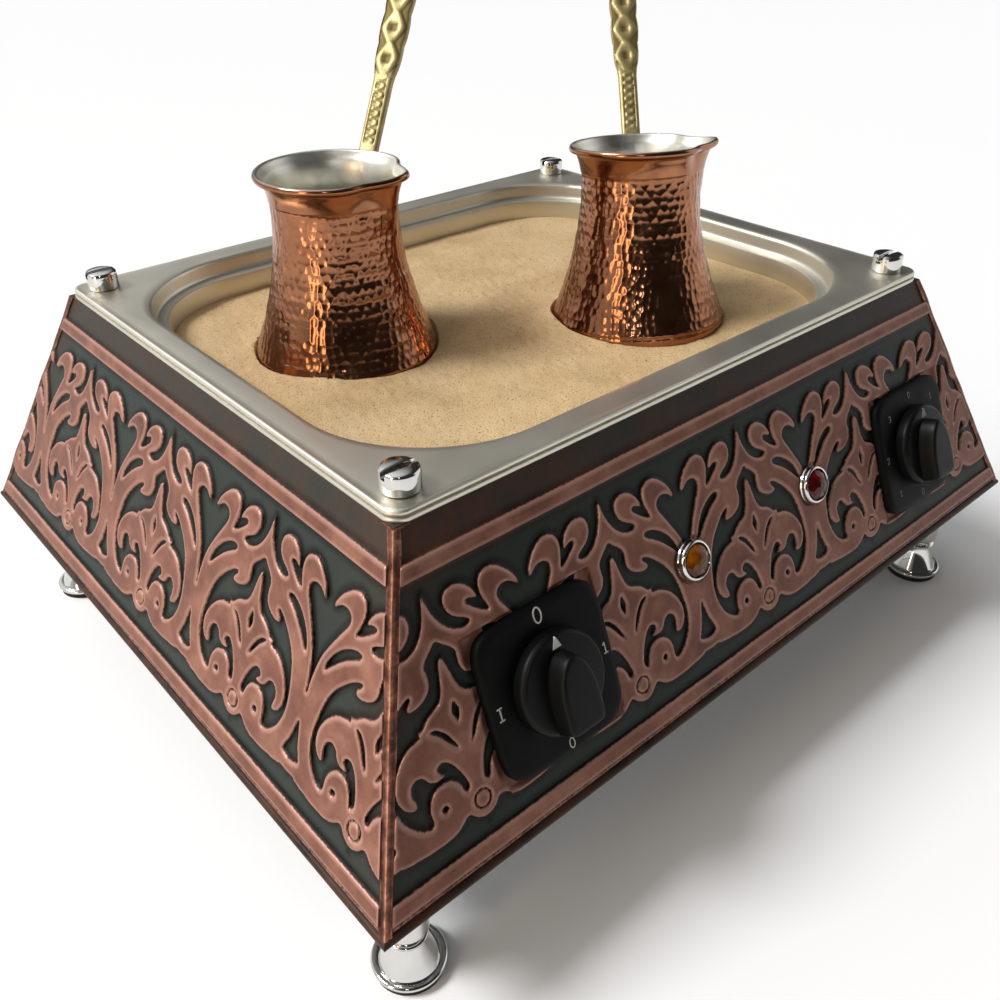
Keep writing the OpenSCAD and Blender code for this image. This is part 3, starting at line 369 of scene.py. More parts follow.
def seam_copper():
    """Folded copper strip: brown and stained on its faces, rubbed bright where the wear attribute is high."""
    m, t, shader, blotch, _ = start_material(
        "worn_seam_copper", (6, 5.0, 0.7), (2.5, 3.0, 0.5), 0.3, Metallic=0.75)
    wear = add(t, FIELD, out="Fac", attribute_name="wear")
    worn = add(t, MATH, {0: blotch, 1: 2.0, 2: wear}, operation="MULTIPLY_ADD")
    share = add(t, MATH, {0: worn, 1: 0.4}, operation="MULTIPLY")
    stops = [(0.3, "#1E1714"), (0.5, "#543528"), (0.68, "#9A6350"), (0.85, "#D9A48C")]
    plug(t, shader, {
        "Base Color": add(t, RAMP, {"Fac": share}, stops),
        "Roughness": add(t, RANGE, {"Value": share, LOW: 0.3, HIGH: 0.85, TO_LOW: 0.55, TO_HIGH: 0.3}),
    })
    return m


def dry_sand():
    """Dry fine sand: pale tan grains with dark and light specks. Real grains are about 0.3 mm; they are drawn
    about 0.9 mm across so that they show."""
    m, t, shader, blotch, fine = start_material(
        "dry_fine_sand", (30, 5.0, 0.6), (0.9, 2.0, 0.8), 0.5, Roughness=0.95, Specular_IOR_Level=0.2)
    base = add(t, RAMP, {"Fac": blotch}, [(NOISE_LOW, "#C4A67A"), (NOISE_HIGH, "#DCC095")])
    stops = [(0.31, "#6A5134"), (0.42, "#FFFFFF"), (0.62, "#FFFFFF"), (0.75, "#FFF3DC")]
    specks = add(t, RAMP, {"Fac": fine}, stops)
    colour = add(t, MIX, {"Factor": 0.85, A: base, B: specks}, blend_type="MULTIPLY", **COLOURS)
    plug(t, shader, {"Base Color": colour})
    return m


def hammered_copper():
    """Hammered and lacquered copper: red-brown and mirror-like, a little darker in blotches, with a bright
    silver tinned inside and rim where the tin attribute is high."""
    m, t, shader, blotch, _ = start_material(
        "hammered_copper", (9, 4.0, 0.5), (1.5, 2.0, 0.5), 0.03, Metallic=1.0)
    tin = add(t, FIELD, out="Fac", attribute_name="tin")
    copper = add(t, RAMP, {"Fac": blotch}, [(NOISE_LOW, "#8D5D44"), (NOISE_HIGH, "#AA7556")])
    silver = add(t, RAMP, {"Fac": blotch}, [(NOISE_LOW, "#DAD8CC"), (NOISE_HIGH, "#EDEBE1")])
    copper_rough = add(t, RANGE, {"Value": blotch, **NOISE_SPAN, TO_LOW: 0.12, TO_HIGH: 0.2})
    plug(t, shader, {
        "Base Color": add(t, MIX, {"Factor": tin, A: copper, B: silver}, **COLOURS),
        "Roughness": add(t, MATH, {0: tin, 1: 0.22, 2: copper_rough}, operation="MULTIPLY_ADD"),
    })
    return m


def cast_brass():
    """Cast brass, dulled: pale straw gold, with brown tarnish where the recess attribute is high."""
    m, t, shader, blotch, _ = start_material(
        "cast_dull_brass", (6, 4.0, 0.5), (0.9, 3.0, 0.5), 0.08, Metallic=0.7)
    recess = add(t, FIELD, out="Fac", attribute_name="recess")
    straw = add(t, RAMP, {"Fac": blotch}, [(NOISE_LOW, "#958756"), (NOISE_HIGH, "#B0A275")])
    tarnish = add(t, MATH, {0: recess, 1: 0.75}, operation="MULTIPLY")
    plug(t, shader, {
        "Base Color": add(t, MIX, {"Factor": tarnish, A: straw, B: "#5C4B22"}, **COLOURS),
        "Roughness": add(t, MATH, {0: recess, 1: 0.15, 2: 0.46}, operation="MULTIPLY_ADD"),
    })
    return m


def tinted_lens(name, deep, light):
    """Tinted clear lamp plastic: glossy, partly see-through, a little uneven in its tint."""
    m, t, shader, blotch, _ = start_material(
        name, (5, 2.0, 0.5), Roughness=0.12, Transmission_Weight=0.35, Specular_IOR_Level=0.3)
    plug(t, shader, {"Base Color": add(t, RAMP, {"Fac": blotch}, [(0.35, deep), (0.7, light)])})
    return m


# The material of each slot; numbers are blotch size, metallic, roughness, its spread, bump height and size
FINISH = {
    "embossed_copper": embossed_copper(),
    "seam_copper": seam_copper(),
    "sand": dry_sand(),
    "hammered_copper": hammered_copper(),
    "cast_brass": cast_brass(),
    "amber_lens": tinted_lens("amber_lamp_plastic", "#6B3503", "#B86A10"),
    "red_lens": tinted_lens("red_lamp_plastic", "#4A0508", "#8E1418"),
    # Pressed stainless sheet: even satin, warm grey
    "stainless": plain("pressed_stainless_steel", "#D6D2C4", "#DEDACD", 40.0, 1.0, 0.45, 0.03, 0.01, 1.0),
    # Polished chrome plate: near-mirror, with a breath of haze
    "chrome": plain("polished_chrome", "#CFCFCC", "#DCDCDA", 14.0, 1.0, 0.08, 0.03),
    # Zinc plated steel: pale grey crystals about 3 mm across
    "zinc_steel": plain("zinc_plated_steel", "#9B9D9C", "#B9BBBA", 3.0, 1.0, 0.42, 0.08, 0.02, 2.0),
    # Moulded rubber: matt black, dusty grey in places
    "rubber": plain("moulded_rubber", "#161616", "#242424", 4.0, 0.0, 0.8, 0.08, 0.05, 0.8),
    # Moulded ABS: black with a fine spark-eroded grain, drawn about 0.7 mm across
    "black_plastic": plain(
        "grained_black_abs", "#060707", "#0B0C0C", 12.0, 0.0, 0.55, 0.06, 0.04, 0.7, gloss=0.1),
    # Smoother moulded ABS of the knobs: black with a satin gloss
    "knob_plastic": plain(
        "satin_black_abs", "#060707", "#0B0C0C", 15.0, 0.0, 0.42, 0.05, 0.015, 0.7, gloss=0.15),
    # Nickel steel tube, browned and blued by heat
    "element_sheath": plain("heat_browned_tube", "#3A322C", "#5A4E46", 8.0, 0.9, 0.48, 0.1, 0.03, 1.5),
    # Unglazed steatite: dry ivory
    "element_ceramic": plain("unglazed_steatite", "#D6D1C3", "#E6E2D6", 5.0, 0.0, 0.7, 0.06, 0.03, 0.9),
    # Pressed fibre board: chalky, with short fibres
    "insulation": plain(
        "pressed_fibre_board", "#D9D4C6", "#ECE8DE", 2.5, 0.0, 0.92, 0.04, 0.12, 0.9, (1, 6, 6)),
    # Moulded nylon: off-white, slightly waxy
    "lamp_plastic": plain("moulded_nylon", "#D0CDC3", "#DEDBD2", 10.0, 0.0, 0.45, 0.05),
    # Braided glass sleeve: buff, with a thread pattern about 0.8 mm across
    "wire_insulation": plain("braided_glass_sleeve", "#B3A98C", "#D4CBB2", 0.8, 0.0, 0.75, 0.05, 0.1, 0.8),
    # Turned terminal brass, lightly dulled
    "terminal_brass": plain("turned_terminal_brass", "#B08F4A", "#CDB06B", 5.0, 1.0, 0.32, 0.06),
    # Peened copper rivets: pinker than the pot, dented
    "rivet_copper": plain("peened_copper", "#A9674A", "#CC8A69", 3.0, 1.0, 0.32, 0.06, 0.06, 1.5),
}
PAINT = {
    # White marking paint: matt, slightly worn
    "left": plain("white_marking_paint", "#D8D8D4", "#F0F0EC", 2.0, 0.0, 0.6, 0.05),
    # Thinner marking paint: rubbed to a dim grey
    "right": plain("rubbed_marking_paint", "#77776F", "#A5A59C", 2.0, 0.0, 0.6, 0.05),
}
for part in frame["record"]["subparts"]:
    node_materials = frame["nodes"][part["node"]].data.materials
    node_materials.clear()
    node_materials.append(FINISH[part["material_slot"]])


# Embossed casing panels

# Half of one repeat of the scrollwork: x from the heart's middle to the palmette's middle, y up the slope
HALF_REPEAT = 41.4
RAISED = """0 56.5 .3 60 .9 65 2.3 71.5 4.4 76.5 7 81.2 9.6 85.6 11.9 89.4 12.6 92 11.7 94.1 9.4 95.2 7 95
 5 93.9 3 92.4 2.7 94 4.4 97.4 7 100.3 10 102.6 13 103.6 16 103 18.2 101.2 19.1 98.4 18.9 95.4 18.1 92.4
 17.2 90 17.8 89.3 20.4 90.7 23.2 92.8 25.5 95 25.6 96.3 24.3 96.6 22.4 96 20.8 95.2 20.8 96.6 21.5 98.4
 23 100.6 25.2 102.4 28 103.5 31 103.3 33.3 101.8 34.2 99.2 33.8 96.4 32.4 94.1 30.3 92.4 28 91.2 26 89.6
 27 88.3 29.5 88 32.2 88.9 34.7 90.6 37 93.2 38.9 96.6 40.2 100.3 41.4 105 44 105 44 20.8 41.4 20.8 39 21.3
 37 22.4 35.4 24.1 34.2 24.9 32.8 24.3 30.6 22.7 27.6 21.4 23 20.8 17 21 10 21.7 5.5 22.4 4.5 23 0 22.8
 -3 22.8 -3 56.5"""
GROUND = """41.4 82.6 40.1 80.3 39.3 77 38.6 73.7 37.7 70.7 36.4 68.5 34.6 67.2 32 66.2 29.6 64.7 27.4 62.6
 25.2 62.1 25.6 60.6 23 60.1 20 59.2 17 57.4 14.6 55 12.6 52.2 11.3 49 10.9 46.2 11.2 43.6 12.2 41.4
 13.6 39.7 15.2 38.9 16.7 38.9 17.2 40 16.8 41.7 16.4 43.6 16.7 45.7 17.8 47.4 19.6 48.1 21.5 47.7 22.8 46.4
 23.7 44.8 25.3 43.6 27.5 43.2 30.2 43.6 29 44.7 28 45.9 28.1 47.3 29.6 48.3 31.6 47.9 33.8 45.8 35.8 42.3
 37.2 38.7 38 35.5 37.6 33.8 36.6 33.2 35.7 33.9 35.1 36 33.9 38.5 32 40.4 29.5 41.3 26.8 41.2 24.2 40
 22.3 38 21.2 35.5 20.9 33 21 30.6 20.4 29.2 19.2 28.9 17 29.7 14.5 31.6 12.2 34.2 10.5 37.5 9.4 41 9 45
 9.2 49 10 54 11.2 59 12.7 63 15 66.8 18 70.2 21 73 24 75 26.3 75.6 26.2 74.3 24.6 72.7 24.2 71.4 25 70.7
 26.3 70.5 28.6 70.8 31.5 72 33.8 74 34.9 76.5 34.9 79.5 34.9 82.2 36.4 84.4 39 86.6 41.4 88.4 44 86.5
 44 79"""
LEAF_SLIT = """6 69.6 6.8 73 9 77 12.5 80.8 16.5 83.4 20 84.5 22.4 84.1 21.8 82.4 19 80.6 15.5 78.3 12 75.2
 9 72.2 7.2 70.2"""
STEM_DART = """-3 27.8 0 27.8 3 28.4 5 29.7 4.2 32 2.8 35 1.7 38.5 .8 42 0 44.6 -1 42 -3 35"""
LEAF_VEIN = """29.2 60.5 32 59.9 35 57 37 53.5 38.5 49.8 36.8 51.2 34.8 54.2 32.5 57.2 30.5 59"""
LOZENGE = """41.4 66.4 40.6 64.6 40 62.5 40.6 60.4 41.4 58.6 42.2 60.4 42.8 62.5 42.2 64.6"""
BUD_PIT, BUD_PIT_R = (26.5, 32.3), 1.3
DROP_RING, DROP_RING_R, DROP_RING_HALF = (41.4, 27.5), 3.4, 0.35
CHART_STEP, CHART_LOW, CHART_HIGH = 0.3, 17.0, 108.0
LOW_BAND, HIGH_BAND = (6.0, 13.0), (111.0, 117.5)
EDGE_LINE, EDGE_LINE_HALF = 4.9, 0.35
RELIEF, EDGE_SOFT, FAR = 1.5, 0.6, 4.0
SHEET_WAVE, SHEET_WAVE_LEN = 0.12, 60.0
SEAM_CLEAR = 0.4
# Where a heart's middle stands on each panel
HEARTS = {"front": -36.5, "right": -29.5, "rear": 36.5, "left": 29.5}
# Distances up the slope of the face's rows of points
FACE_ROWS = np.concatenate([
    np.arange(4.3, 20, 0.85), np.arange(20, 106, 0.74), np.linspace(106.3, SLANT, 28)])
ROLLED_ARC = np.radians(np.linspace(-51.2, -270.6, 15))
TINY = 1e-12


def smooth_outline(text, steps=4):
    """A closed curve through listed points: a cubic between each two, with slopes from their neighbours."""
    b = np.array(text.split(), float).reshape(-1, 2)
    a, c, d = (np.roll(b, shift, 0)[:, None] for shift in (1, -1, -2))
    b = b[:, None]
    u = (np.arange(steps) / steps)[None, :, None]
    square, cube = 2 * a - 5 * b + 4 * c - d, 3 * b - a - 3 * c + d
    return (b + 0.5 * ((c - a) * u + square * u ** 2 + cube * u ** 3)).reshape(-1, 2)


def inside_distance(x, y, outline):
    """Distance to a closed outline, positive inside: the nearest of its sides, and the count of sides that
    lie to the right."""
    best, inside = np.full(x.shape, np.inf), np.zeros(x.shape, bool)
    for (ax, ay), (bx, by) in zip(outline, np.roll(outline, -1, 0)):
        dx, dy = bx - ax, by - ay
        u = np.clip(((x - ax) * dx + (y - ay) * dy) / (dx * dx + dy * dy + TINY), 0, 1)
        best = np.minimum(best, (x - ax - u * dx) ** 2 + (y - ay - u * dy) ** 2)
        crosses = (ay > y) != (by > y)
        inside ^= crosses & (x < ax + (y - ay) * dx / (dy if abs(dy) > TINY else TINY))
    return np.where(inside, 1, -1) * np.sqrt(best)


def scroll_chart():
    """Distance to the scrollwork's edge over half a repeat, positive on raised work, on a square chart."""
    across, up = np.arange(0, HALF_REPEAT + 1, CHART_STEP), np.arange(CHART_LOW, CHART_HIGH, CHART_STEP)
    x, y = np.meshgrid(across, up, indexing="ij")
    chart = inside_distance(x, y, smooth_outline(RAISED))
    for cut in (GROUND, LEAF_SLIT, STEM_DART, LEAF_VEIN, LOZENGE):
        chart = np.minimum(chart, -inside_distance(x, y, smooth_outline(cut)))
    pit = np.hypot(x - BUD_PIT[0], y - BUD_PIT[1]) - BUD_PIT_R
    ring = np.abs(np.hypot(x - DROP_RING[0], y - DROP_RING[1]) - DROP_RING_R) - DROP_RING_HALF
    return np.minimum(chart, np.minimum(pit, ring))


CHART = scroll_chart()


def scroll_distance(s, t, heart):
    """The chart read between its points, folded so that it repeats both ways from a heart at s = heart."""
    just_short = 1.001
    x = np.abs((s - heart + HALF_REPEAT) % (2 * HALF_REPEAT) - HALF_REPEAT) / CHART_STEP
    y = np.clip((t - CHART_LOW) / CHART_STEP, 0, CHART.shape[1] - just_short)
    i, j = x.astype(int), y.astype(int)
    u, v = x - i, y - j
    below, above = (CHART[i, row] * (1 - u) + CHART[i + 1, row] * u for row in (j, j + 1))
    return np.where((t > CHART_LOW) & (t < CHART_HIGH - CHART_STEP), below * (1 - v) + above * v, -FAR)


def under_fittings(side, s, t):
    """Distance outside the plates, bezels and gland that lie flat on a side, negative under them."""
    gaps = [np.full(s.shape, np.inf)]
    if side == FRONT:
        gaps += [np.maximum(np.abs(s - x), np.abs(t - SWITCH_UP)) - PLATE_W / 2 for x in SWITCH_X.values()]
        gaps += [np.hypot(s - x, t - LAMP_UP) - BEZEL_R for x in LAMP_X.values()]
    if side == REAR:
        gaps += [np.hypot(s - GLAND_X, t - GLAND_UP) - GLAND_R]
    return np.min(gaps, axis=0)


def build_panel(side, name, cols=500):
    """A closed section carried along a side and mitred at both ends: the return's underside, the rolled edge
    (an arc), the face, the top edge, the inside and the return's top. The face stands out by an S-shaped step
    at the edge of the scrollwork and bands, and by slow waves of the sheet; both end at the seams."""
    width, depth_across = (BOT_W, BOT_D) if side in (FRONT, REAR) else (BOT_D, BOT_W)
    v = np.linspace(-1, 1, cols)
    half = width / 2 - FACE_ROWS[:, None] * SIN
    s = v * half
    t = np.broadcast_to(FACE_ROWS[:, None], s.shape)
    to_corner = half - np.abs(s)
    edge = scroll_distance(s, t, HEARTS[name])
    for low, high in (LOW_BAND, HIGH_BAND):
        edge = np.maximum(edge, np.minimum(t - low, high - t))
    edge = np.maximum(edge, EDGE_LINE_HALF - np.abs(t - EDGE_LINE))
    edge = np.minimum(edge, to_corner - SEAM_W - SEAM_CLEAR)
    uneven = SHEET_WAVE * waves(s, t, SHEET_WAVE_LEN, seed=side) * ease(to_corner, 0, 8)
    lift = RELIEF * ease(edge, -EDGE_SOFT, EDGE_SOFT) + uneven
    lift *= ease(under_fittings(side, s, t), 0.2, 1.4)
    # Rubbed bare at the top edge, near the rolled edge and at the corners, and at the front's upper left
    rub = 0.45 * ease(t, 116, 119) + 0.7 * (1 - ease(t, 4, 7)) + 0.6 * np.exp(-to_corner / 9)
    if side == FRONT:
        rub += 0.9 * ease(t, 106, 112) * np.exp(-(s + half) / 70)

    # Rows before the face run out along the underside and round the rolled edge; later ones run down inside
    roll_depth = BEAD_R * SIN + SHEET / 2 * COS + BEAD_R * np.cos(ROLLED_ARC)
    roll_z = FOOT_H + BEAD_R * COS - SHEET / 2 * SIN + BEAD_R * np.sin(ROLLED_ARC)
    low_depth = np.append([SHEET_LEVEL + RETURN_W, 6.0], roll_depth)
    low_z = np.append([FOOT_H, FOOT_H], roll_z)
    inner_z = np.array([CASING_TOP, CASING_TOP - 40, FOOT_H + 40, FOOT_H + SHEET])
    inner_depth = (inner_z - FOOT_H) * FLARE / CASING_H + SHEET_LEVEL
    high_depth, high_z = np.append(inner_depth, SHEET_LEVEL + RETURN_W), np.append(inner_z, FOOT_H + SHEET)

    def joined(before, face, after):
        ends = [np.broadcast_to(np.reshape(a, (-1, 1)), (rows, cols))
                for a, rows in ((before, len(low_z)), (after, len(high_z)))]
        return np.concatenate([ends[0], face, ends[1]])

    depth = joined(low_depth, t * SIN - lift * COS, high_depth)
    z = joined(low_z, FOOT_H + t * COS + lift * SIN, high_z)
    points = points_at(v * (width / 2 - depth), depth - depth_across / 2, z) @ turn("Z", 90 * side).T
    fields = {
        "relief": joined(-1.2, np.clip(edge, -FAR, FAR), -2.0),
        "rub": joined(0.85, np.clip(rub, 0, 1), 0.0),
    }
    row_starts = np.arange(len(depth)) * cols
    ends = [row_starts[None, :], (row_starts + cols - 1)[None, ::-1]]
    parts = [(points, [quads(len(depth), cols, wrap_rows=True, wrap_cols=False), *ends])]
    node = name + "_panel"
    make_piece("embossed_" + node, "heater", "embossed_copper", parts, (node,), 50, fields=fields)


for panel_side, panel_name in enumerate(SIDES):
    build_panel(panel_side, panel_name)


def build_seams(rows=130):
    """A thin angle strip on each corner, with a small tab that closes the corner under the pan's lip: an
    L-shaped section at each height, whose leg length and thickness wander by slow waves."""
    z = np.linspace(FOOT_H + 3.4, CASING_TOP - 0.3, rows)
    depth = (z - FOOT_H) * FLARE / CASING_H
    # Wear of the section's twelve points, highest on the outer edge
    section_wear = np.array([0.2, 0.7, 0.5, 0.2, 0.6, 1.0, 0.6, 0.2, 0.5, 0.7, 0.2, 0.0])
    tab = np.array([(0.6, 0.6), (-6.0, 0.4), (0.4, -6.0)])
    tab_z = (CASING_TOP - 1.4, CASING_TOP - 0.25)
    sunk, end_wear = -0.4, 0.3
    thick_wave, leg_wave = 0.2, 0.45
    parts, wear = [], []
    for k, (sx, sy) in enumerate(CORNERS):
        thick = (SEAM_T + thick_wave * waves(z, 40.0 * k, 26.0, seed=11 + k)) / COS
        leg_x = SEAM_W + leg_wave * waves(z, 7.0, 30.0, seed=21 + k)
        leg_y = SEAM_W + leg_wave * waves(z, 7.0, 26.0, seed=31 + k)
        # Along y the section runs as it does along x, but the other way round
        x, y = (np.stack(np.broadcast_arrays(
            -leg, -leg, 0.4 - leg, -1.0, thick - 0.7, thick - 0.2,
            thick, thick, thick, 0.6 * thick, sunk, sunk), 1) for leg in (leg_x, leg_y))
        y = np.roll(y[:, ::-1], -1, 1)
        x, y = sx * (BOT_W / 2 - depth[:, None] + x), sy * (BOT_D / 2 - depth[:, None] + y)
        strip = points_at(x, y, z[:, None])
        flat = np.array([sx, sy]) * (np.array([TOP_W, TOP_D]) / 2 + tab)
        cover = np.stack([np.column_stack([flat, np.full(3, level)]) for level in tab_z])
        order = -1 if sx * sy > 0 else 1
        strip, cover = shell(strip[:, ::order]), shell(cover[:, ::-order])
        parts += [strip, cover]
        rest = len(strip[0]) + len(cover[0]) - x.size
        wear += [np.tile(section_wear[::order], rows), np.full(rest, end_wear)]
    make_piece("folded_corner_seams", "heater", "seam_copper", parts, ("corner_seams",), 40,
               fields={"wear": np.concatenate(wear)})


build_seams()


# Pan, sand and screws

SAND_GAP, POCKET_GAP = 0.3, 0.4
SAND_ARC, SAND_SIDE = 40, 88
# Height, length, count and seed of the sand's waves
DUNES = ((1.2, 110.0, 9, 2), (0.5, 30.0, 9, 8), (0.16, 8.0, 14, 9))
RIDGE_H, RIDGE_W = 1.1, 6.0


def build_pan():
    """Rounded rectangles from the middle of the underside up to the flange, out to the lip and round it, and
    over the flange down into the well. The depth is less than the width by as much as it is at the top."""
    low, high, shoulder = PAN_Z, FLANGE_TOP, SHOULDER_Z
    # Width, corner radius and height: where a stretch of rows is measured from, then the steps from there
    stretches = (
        ((100, 12, low), [(0, 0, 0)]),
        ((WELL_W, WELL_R, low), [(-14, -7, 0), (-2, -1, 1.6), (2, 1, 7)]),
        ((WELL_W, WELL_R, shoulder), [(2, 1, -2.5), (3.2, 1.6, -1.2)]),
        ((MOUTH_W, MOUTH_R, shoulder), [(1.4, 0.7, -1), (2, 1, 0)]),
        ((MOUTH_W, MOUTH_R, high), [(2, 1, -2.2), (3.4, 1.6, -1)]),
        ((TOP_W, 0, high), [(-6.4, 5.6, -1), (-5, 6, -1.6)]),
        ((TOP_W, 0, CASING_TOP), [
            (-5, 6, 0), (-3, 6.6, -0.1), (0.5, 7.2, -0.1), (0.9, 7.4, 0.3), (0.9, 7.4, 1.2), (0.4, 7.2, 1.6),
            (-2.2, 6.2, 1.8), (-2.2, 6.2, 2.5), (0.1, 7.1, 2.65), (0.5, 7.2, 3.1), (0.3, 7.1, 3.8),
            (-0.6, 6.8, 4.4)]),
        ((TOP_W, 0, high), [(-1.6, 6.6, 0.05), (-3.2, 6.6, -0.1), (-4.4, 7, -0.25), (-8, 10, -0.2)]),
        ((MOUTH_W, MOUTH_R, high), [(6, -3, 0), (2.2, -1, -0.25), (0.7, 0, -0.9), (0, 0, -2.2)]),
        ((MOUTH_W, MOUTH_R, shoulder), [(-0.4, 0, 2.2), (-1.1, -0.4, 0.8), (-2.6, -1.2, 0.15)]),
        ((WELL_W, WELL_R, shoulder), [(2.2, 1.4, 0), (0.6, 0.4, -0.4), (0, 0, -1.6), (-0.2, 0, -6)]),
        ((WELL_W, WELL_R, low), [(-0.2, 0, 8), (-4, -2, 2.2), (-16, -8, 1)]),
        ((100, 12, low), [(0, 0, 1)]),
    )
    w, r, z = np.concatenate([np.array(steps, float) + start for start, steps in stretches]).T
    rings = rect_rings(w, w - (TOP_W - TOP_D), r, z, 18, 60)
    x, y, z = (rings[..., k] for k in range(3))
    on_flange = z > high - 1.2
    z += 0.15 * waves(x, y, 150.0, seed=5) * on_flange
    make_piece("pressed_sand_pan", "heater", "stainless", [shell(rings)], ("sand_pan",), 45)


def pocket(x, y, z, name):
    """How far points lie outside the edge of a pot's pocket in the sand, and the highest that the sand may
    reach there: a bowl about the pot's axis that follows its rounded base at a small distance."""
    origin, spin = CEZVES[name]
    axis = spin[:, 2]
    rel = points_at(x, y, z) - origin
    along = rel @ axis
    radius = np.linalg.norm(rel - along[..., None] * axis, axis=-1)
    flat_r, corner_r, edge_gap, edge_depth = POT_BASE_R - 5.0, 5.5, 0.5, 1
    curve = np.sqrt(np.clip(1 - (np.clip(radius - flat_r, 0, None) / corner_r) ** 2, 0, 1))
    floor = -edge_depth - (POT_BURY - edge_depth + POCKET_GAP) * curve
    return radius - POT_BASE_R - edge_gap, z + (floor - along) / axis[2]


def build_sand(rows=118):
    """A height field in the pan's well: nearly level sand with slow and quick waves, a low ridge round each
    pot and a bowl under it. The grid's points near a bowl's edge are drawn on to it."""
    w, d, r = WELL_W - 2 * SAND_GAP, WELL_D - 2 * SAND_GAP, WELL_R - SAND_GAP
    steps = np.linspace(0, 1, rows)[:, None]
    shrink = 1 - 0.988 * steps[:, 0]
    inner = rect_rings(w * shrink, d * shrink, r * shrink, SAND_Z, SAND_ARC, SAND_SIDE)
    x, y = inner[..., 0], inner[..., 1]
    flat = np.full(x.shape, SAND_Z)
    dunes = sum(height * waves(x, y, size, count, seed) for height, size, count, seed in DUNES)
    calm_at_wall = 1 - 0.75 * np.exp(-steps / 0.05)
    level = SAND_Z + dunes * calm_at_wall
    for name, (origin, _) in CEZVES.items():
        past, _ = pocket(x, y, flat, name)
        pull = np.where(np.abs(past) < 0.65, -past, 0)
        away = np.arctan2(y - origin[1], x - origin[0])
        x, y = x + pull * np.cos(away), y + pull * np.sin(away)
        past, bowl = pocket(x, y, flat, name)
        ridge = RIDGE_H * np.exp(-(np.clip(past, 0, None) / RIDGE_W) ** 2)
        level = level + ridge * (0.5 + 0.5 * waves(x, y, 30.0, seed=6))
        _, bowl = pocket(x, y, np.minimum(level, bowl), name)
        level = np.where(past < -0.05, np.minimum(level, bowl), level)
    top = points_at(x, y, level)
    low = PAN_Z + 1.05
    base = rect_rings(
        [100, w - 8, w], [40, d - 8, d], [12, r - 4, r], [low, low, low + 3], SAND_ARC, SAND_SIDE)
    side = top[:1].copy()
    side[..., 2] = SAND_Z - 8
    parts = [shell(np.concatenate([base, side, top]))]
    make_piece("sand_bed_surface", "heater", "sand", parts, ("sand_bed",), 60)


def build_screws():
    """Four turned heads on threaded shanks; a slot along X parts the top of each head into two lobes, which
    are rings of a circle's segment that shrink about the lobe's middle over a bevel and a shallow dome."""
    slot_floor, core_r, shank_r, shank_end = SCREW_H - 3.4, SCREW_R - 0.02, 3, -16
    profile = [(0.3, shank_end), (shank_r, shank_end), (shank_r, 0), (core_r - 0.4, 0), (core_r, 0.4),
               (core_r, slot_floor), (0.3, slot_floor)]
    core = turned(rounded(profile, [0.3, 0.1, 0.2, 0.2, 0.01], 4), 72)
    start = math.asin(SLOT / 2 / SCREW_R)
    angle = np.linspace(start, np.pi - start, 48)
    arc = SCREW_R * np.stack([np.cos(angle), np.sin(angle)], 1)
    outline = np.concatenate([arc, np.linspace(arc[-1], arc[0], 18)[1:-1]])
    # Size of each ring of a lobe and its drop below the top; the dome lowers all but the first two
    size = np.array([1, 1, 0.985, 0.95, 0.89, 0.7, 0.4])[:, None, None]
    drop = np.array([3.6, 1.6, 1.0, 0.6, 0.35, 0.2, 0.05])[:, None]
    middle = np.array([0, SCREW_R / 2])
    flat = middle + (outline - middle) * size
    dome = 0.5 * (np.linalg.norm(flat, axis=-1) / SCREW_R) ** 2 * (size[..., 0] < 0.99)
    lobe = np.concatenate([flat, (SCREW_H - drop - dome)[..., None]], -1)
    half_turn = np.array([-1, -1, 1])
    parts = []
    for sx, sy in CORNERS:
        seat = np.array([sx * SCREW_X, sy * SCREW_Y, FLANGE_TOP])
        parts += [shell(ring + seat) for ring in (core, lobe, lobe * half_turn)]
    make_piece("turned_pan_screws", "heater", "chrome", parts, ("pan_screws",), 35)


build_pan()
build_sand()
build_screws()


# Feet

def build_feet():
    """A turned foot: base flange, bell whose radius falls with the 1.3rd power of height, ring, groove, shank
    and stud."""
    u = np.linspace(0, 1, 22)
    bell = np.stack([7.2 + 5.0 * (1 - u) ** 1.3, 5.6 + 13.8 * u], 1)
    low = [(0.5, 3), (14.4, 3), (15, 3.5), (15, 4.7), (14.4, 5.3), (13.0, 5.35), (12.7, 4.9), bell[0]]
    high = [bell[-1], (8.3, 19.6), (8.4, 20.8), (7.2, 21.2), (5.6, 21.6), (5.6, 23.6), (8.0, 23.7),
            (9.0, 24.8), (9, 62.4), (4, 62.4), (4, 73), (0.4, 73)]
    low = rounded(low, [0.3, 0.3, 0.3, 0.3, 0.15, 0.15], 4)
    high = rounded(high, [0.4, 0.4, 0.3, 0.3, 0.3, 0.3, 0.7, 0.3, 0.1, 0.5], 4)
    rings = turned(np.concatenate([low, bell[1:-1], high]))
    from_edge = 24
    for y_name, sy in (("front", -1), ("rear", 1)):
        for x_name, sx in (("left", -1), ("right", 1)):
            name = y_name + "_" + x_name
            seat = np.array([sx * (BOT_W / 2 - from_edge), sy * (BOT_D / 2 - from_edge), 0])
            foot = [shell(rings + seat)]
            make_piece("turned_foot_" + name, "heater", "chrome", foot, ("foot_" + name,), 35)


build_feet()


# Switches and lamps

def oval(half_x, half_y, count=33):
    """A closed oval line."""
    a = np.linspace(0, 2 * np.pi, count)
    return np.stack([half_x * np.sin(a), half_y * np.cos(a)], 1)


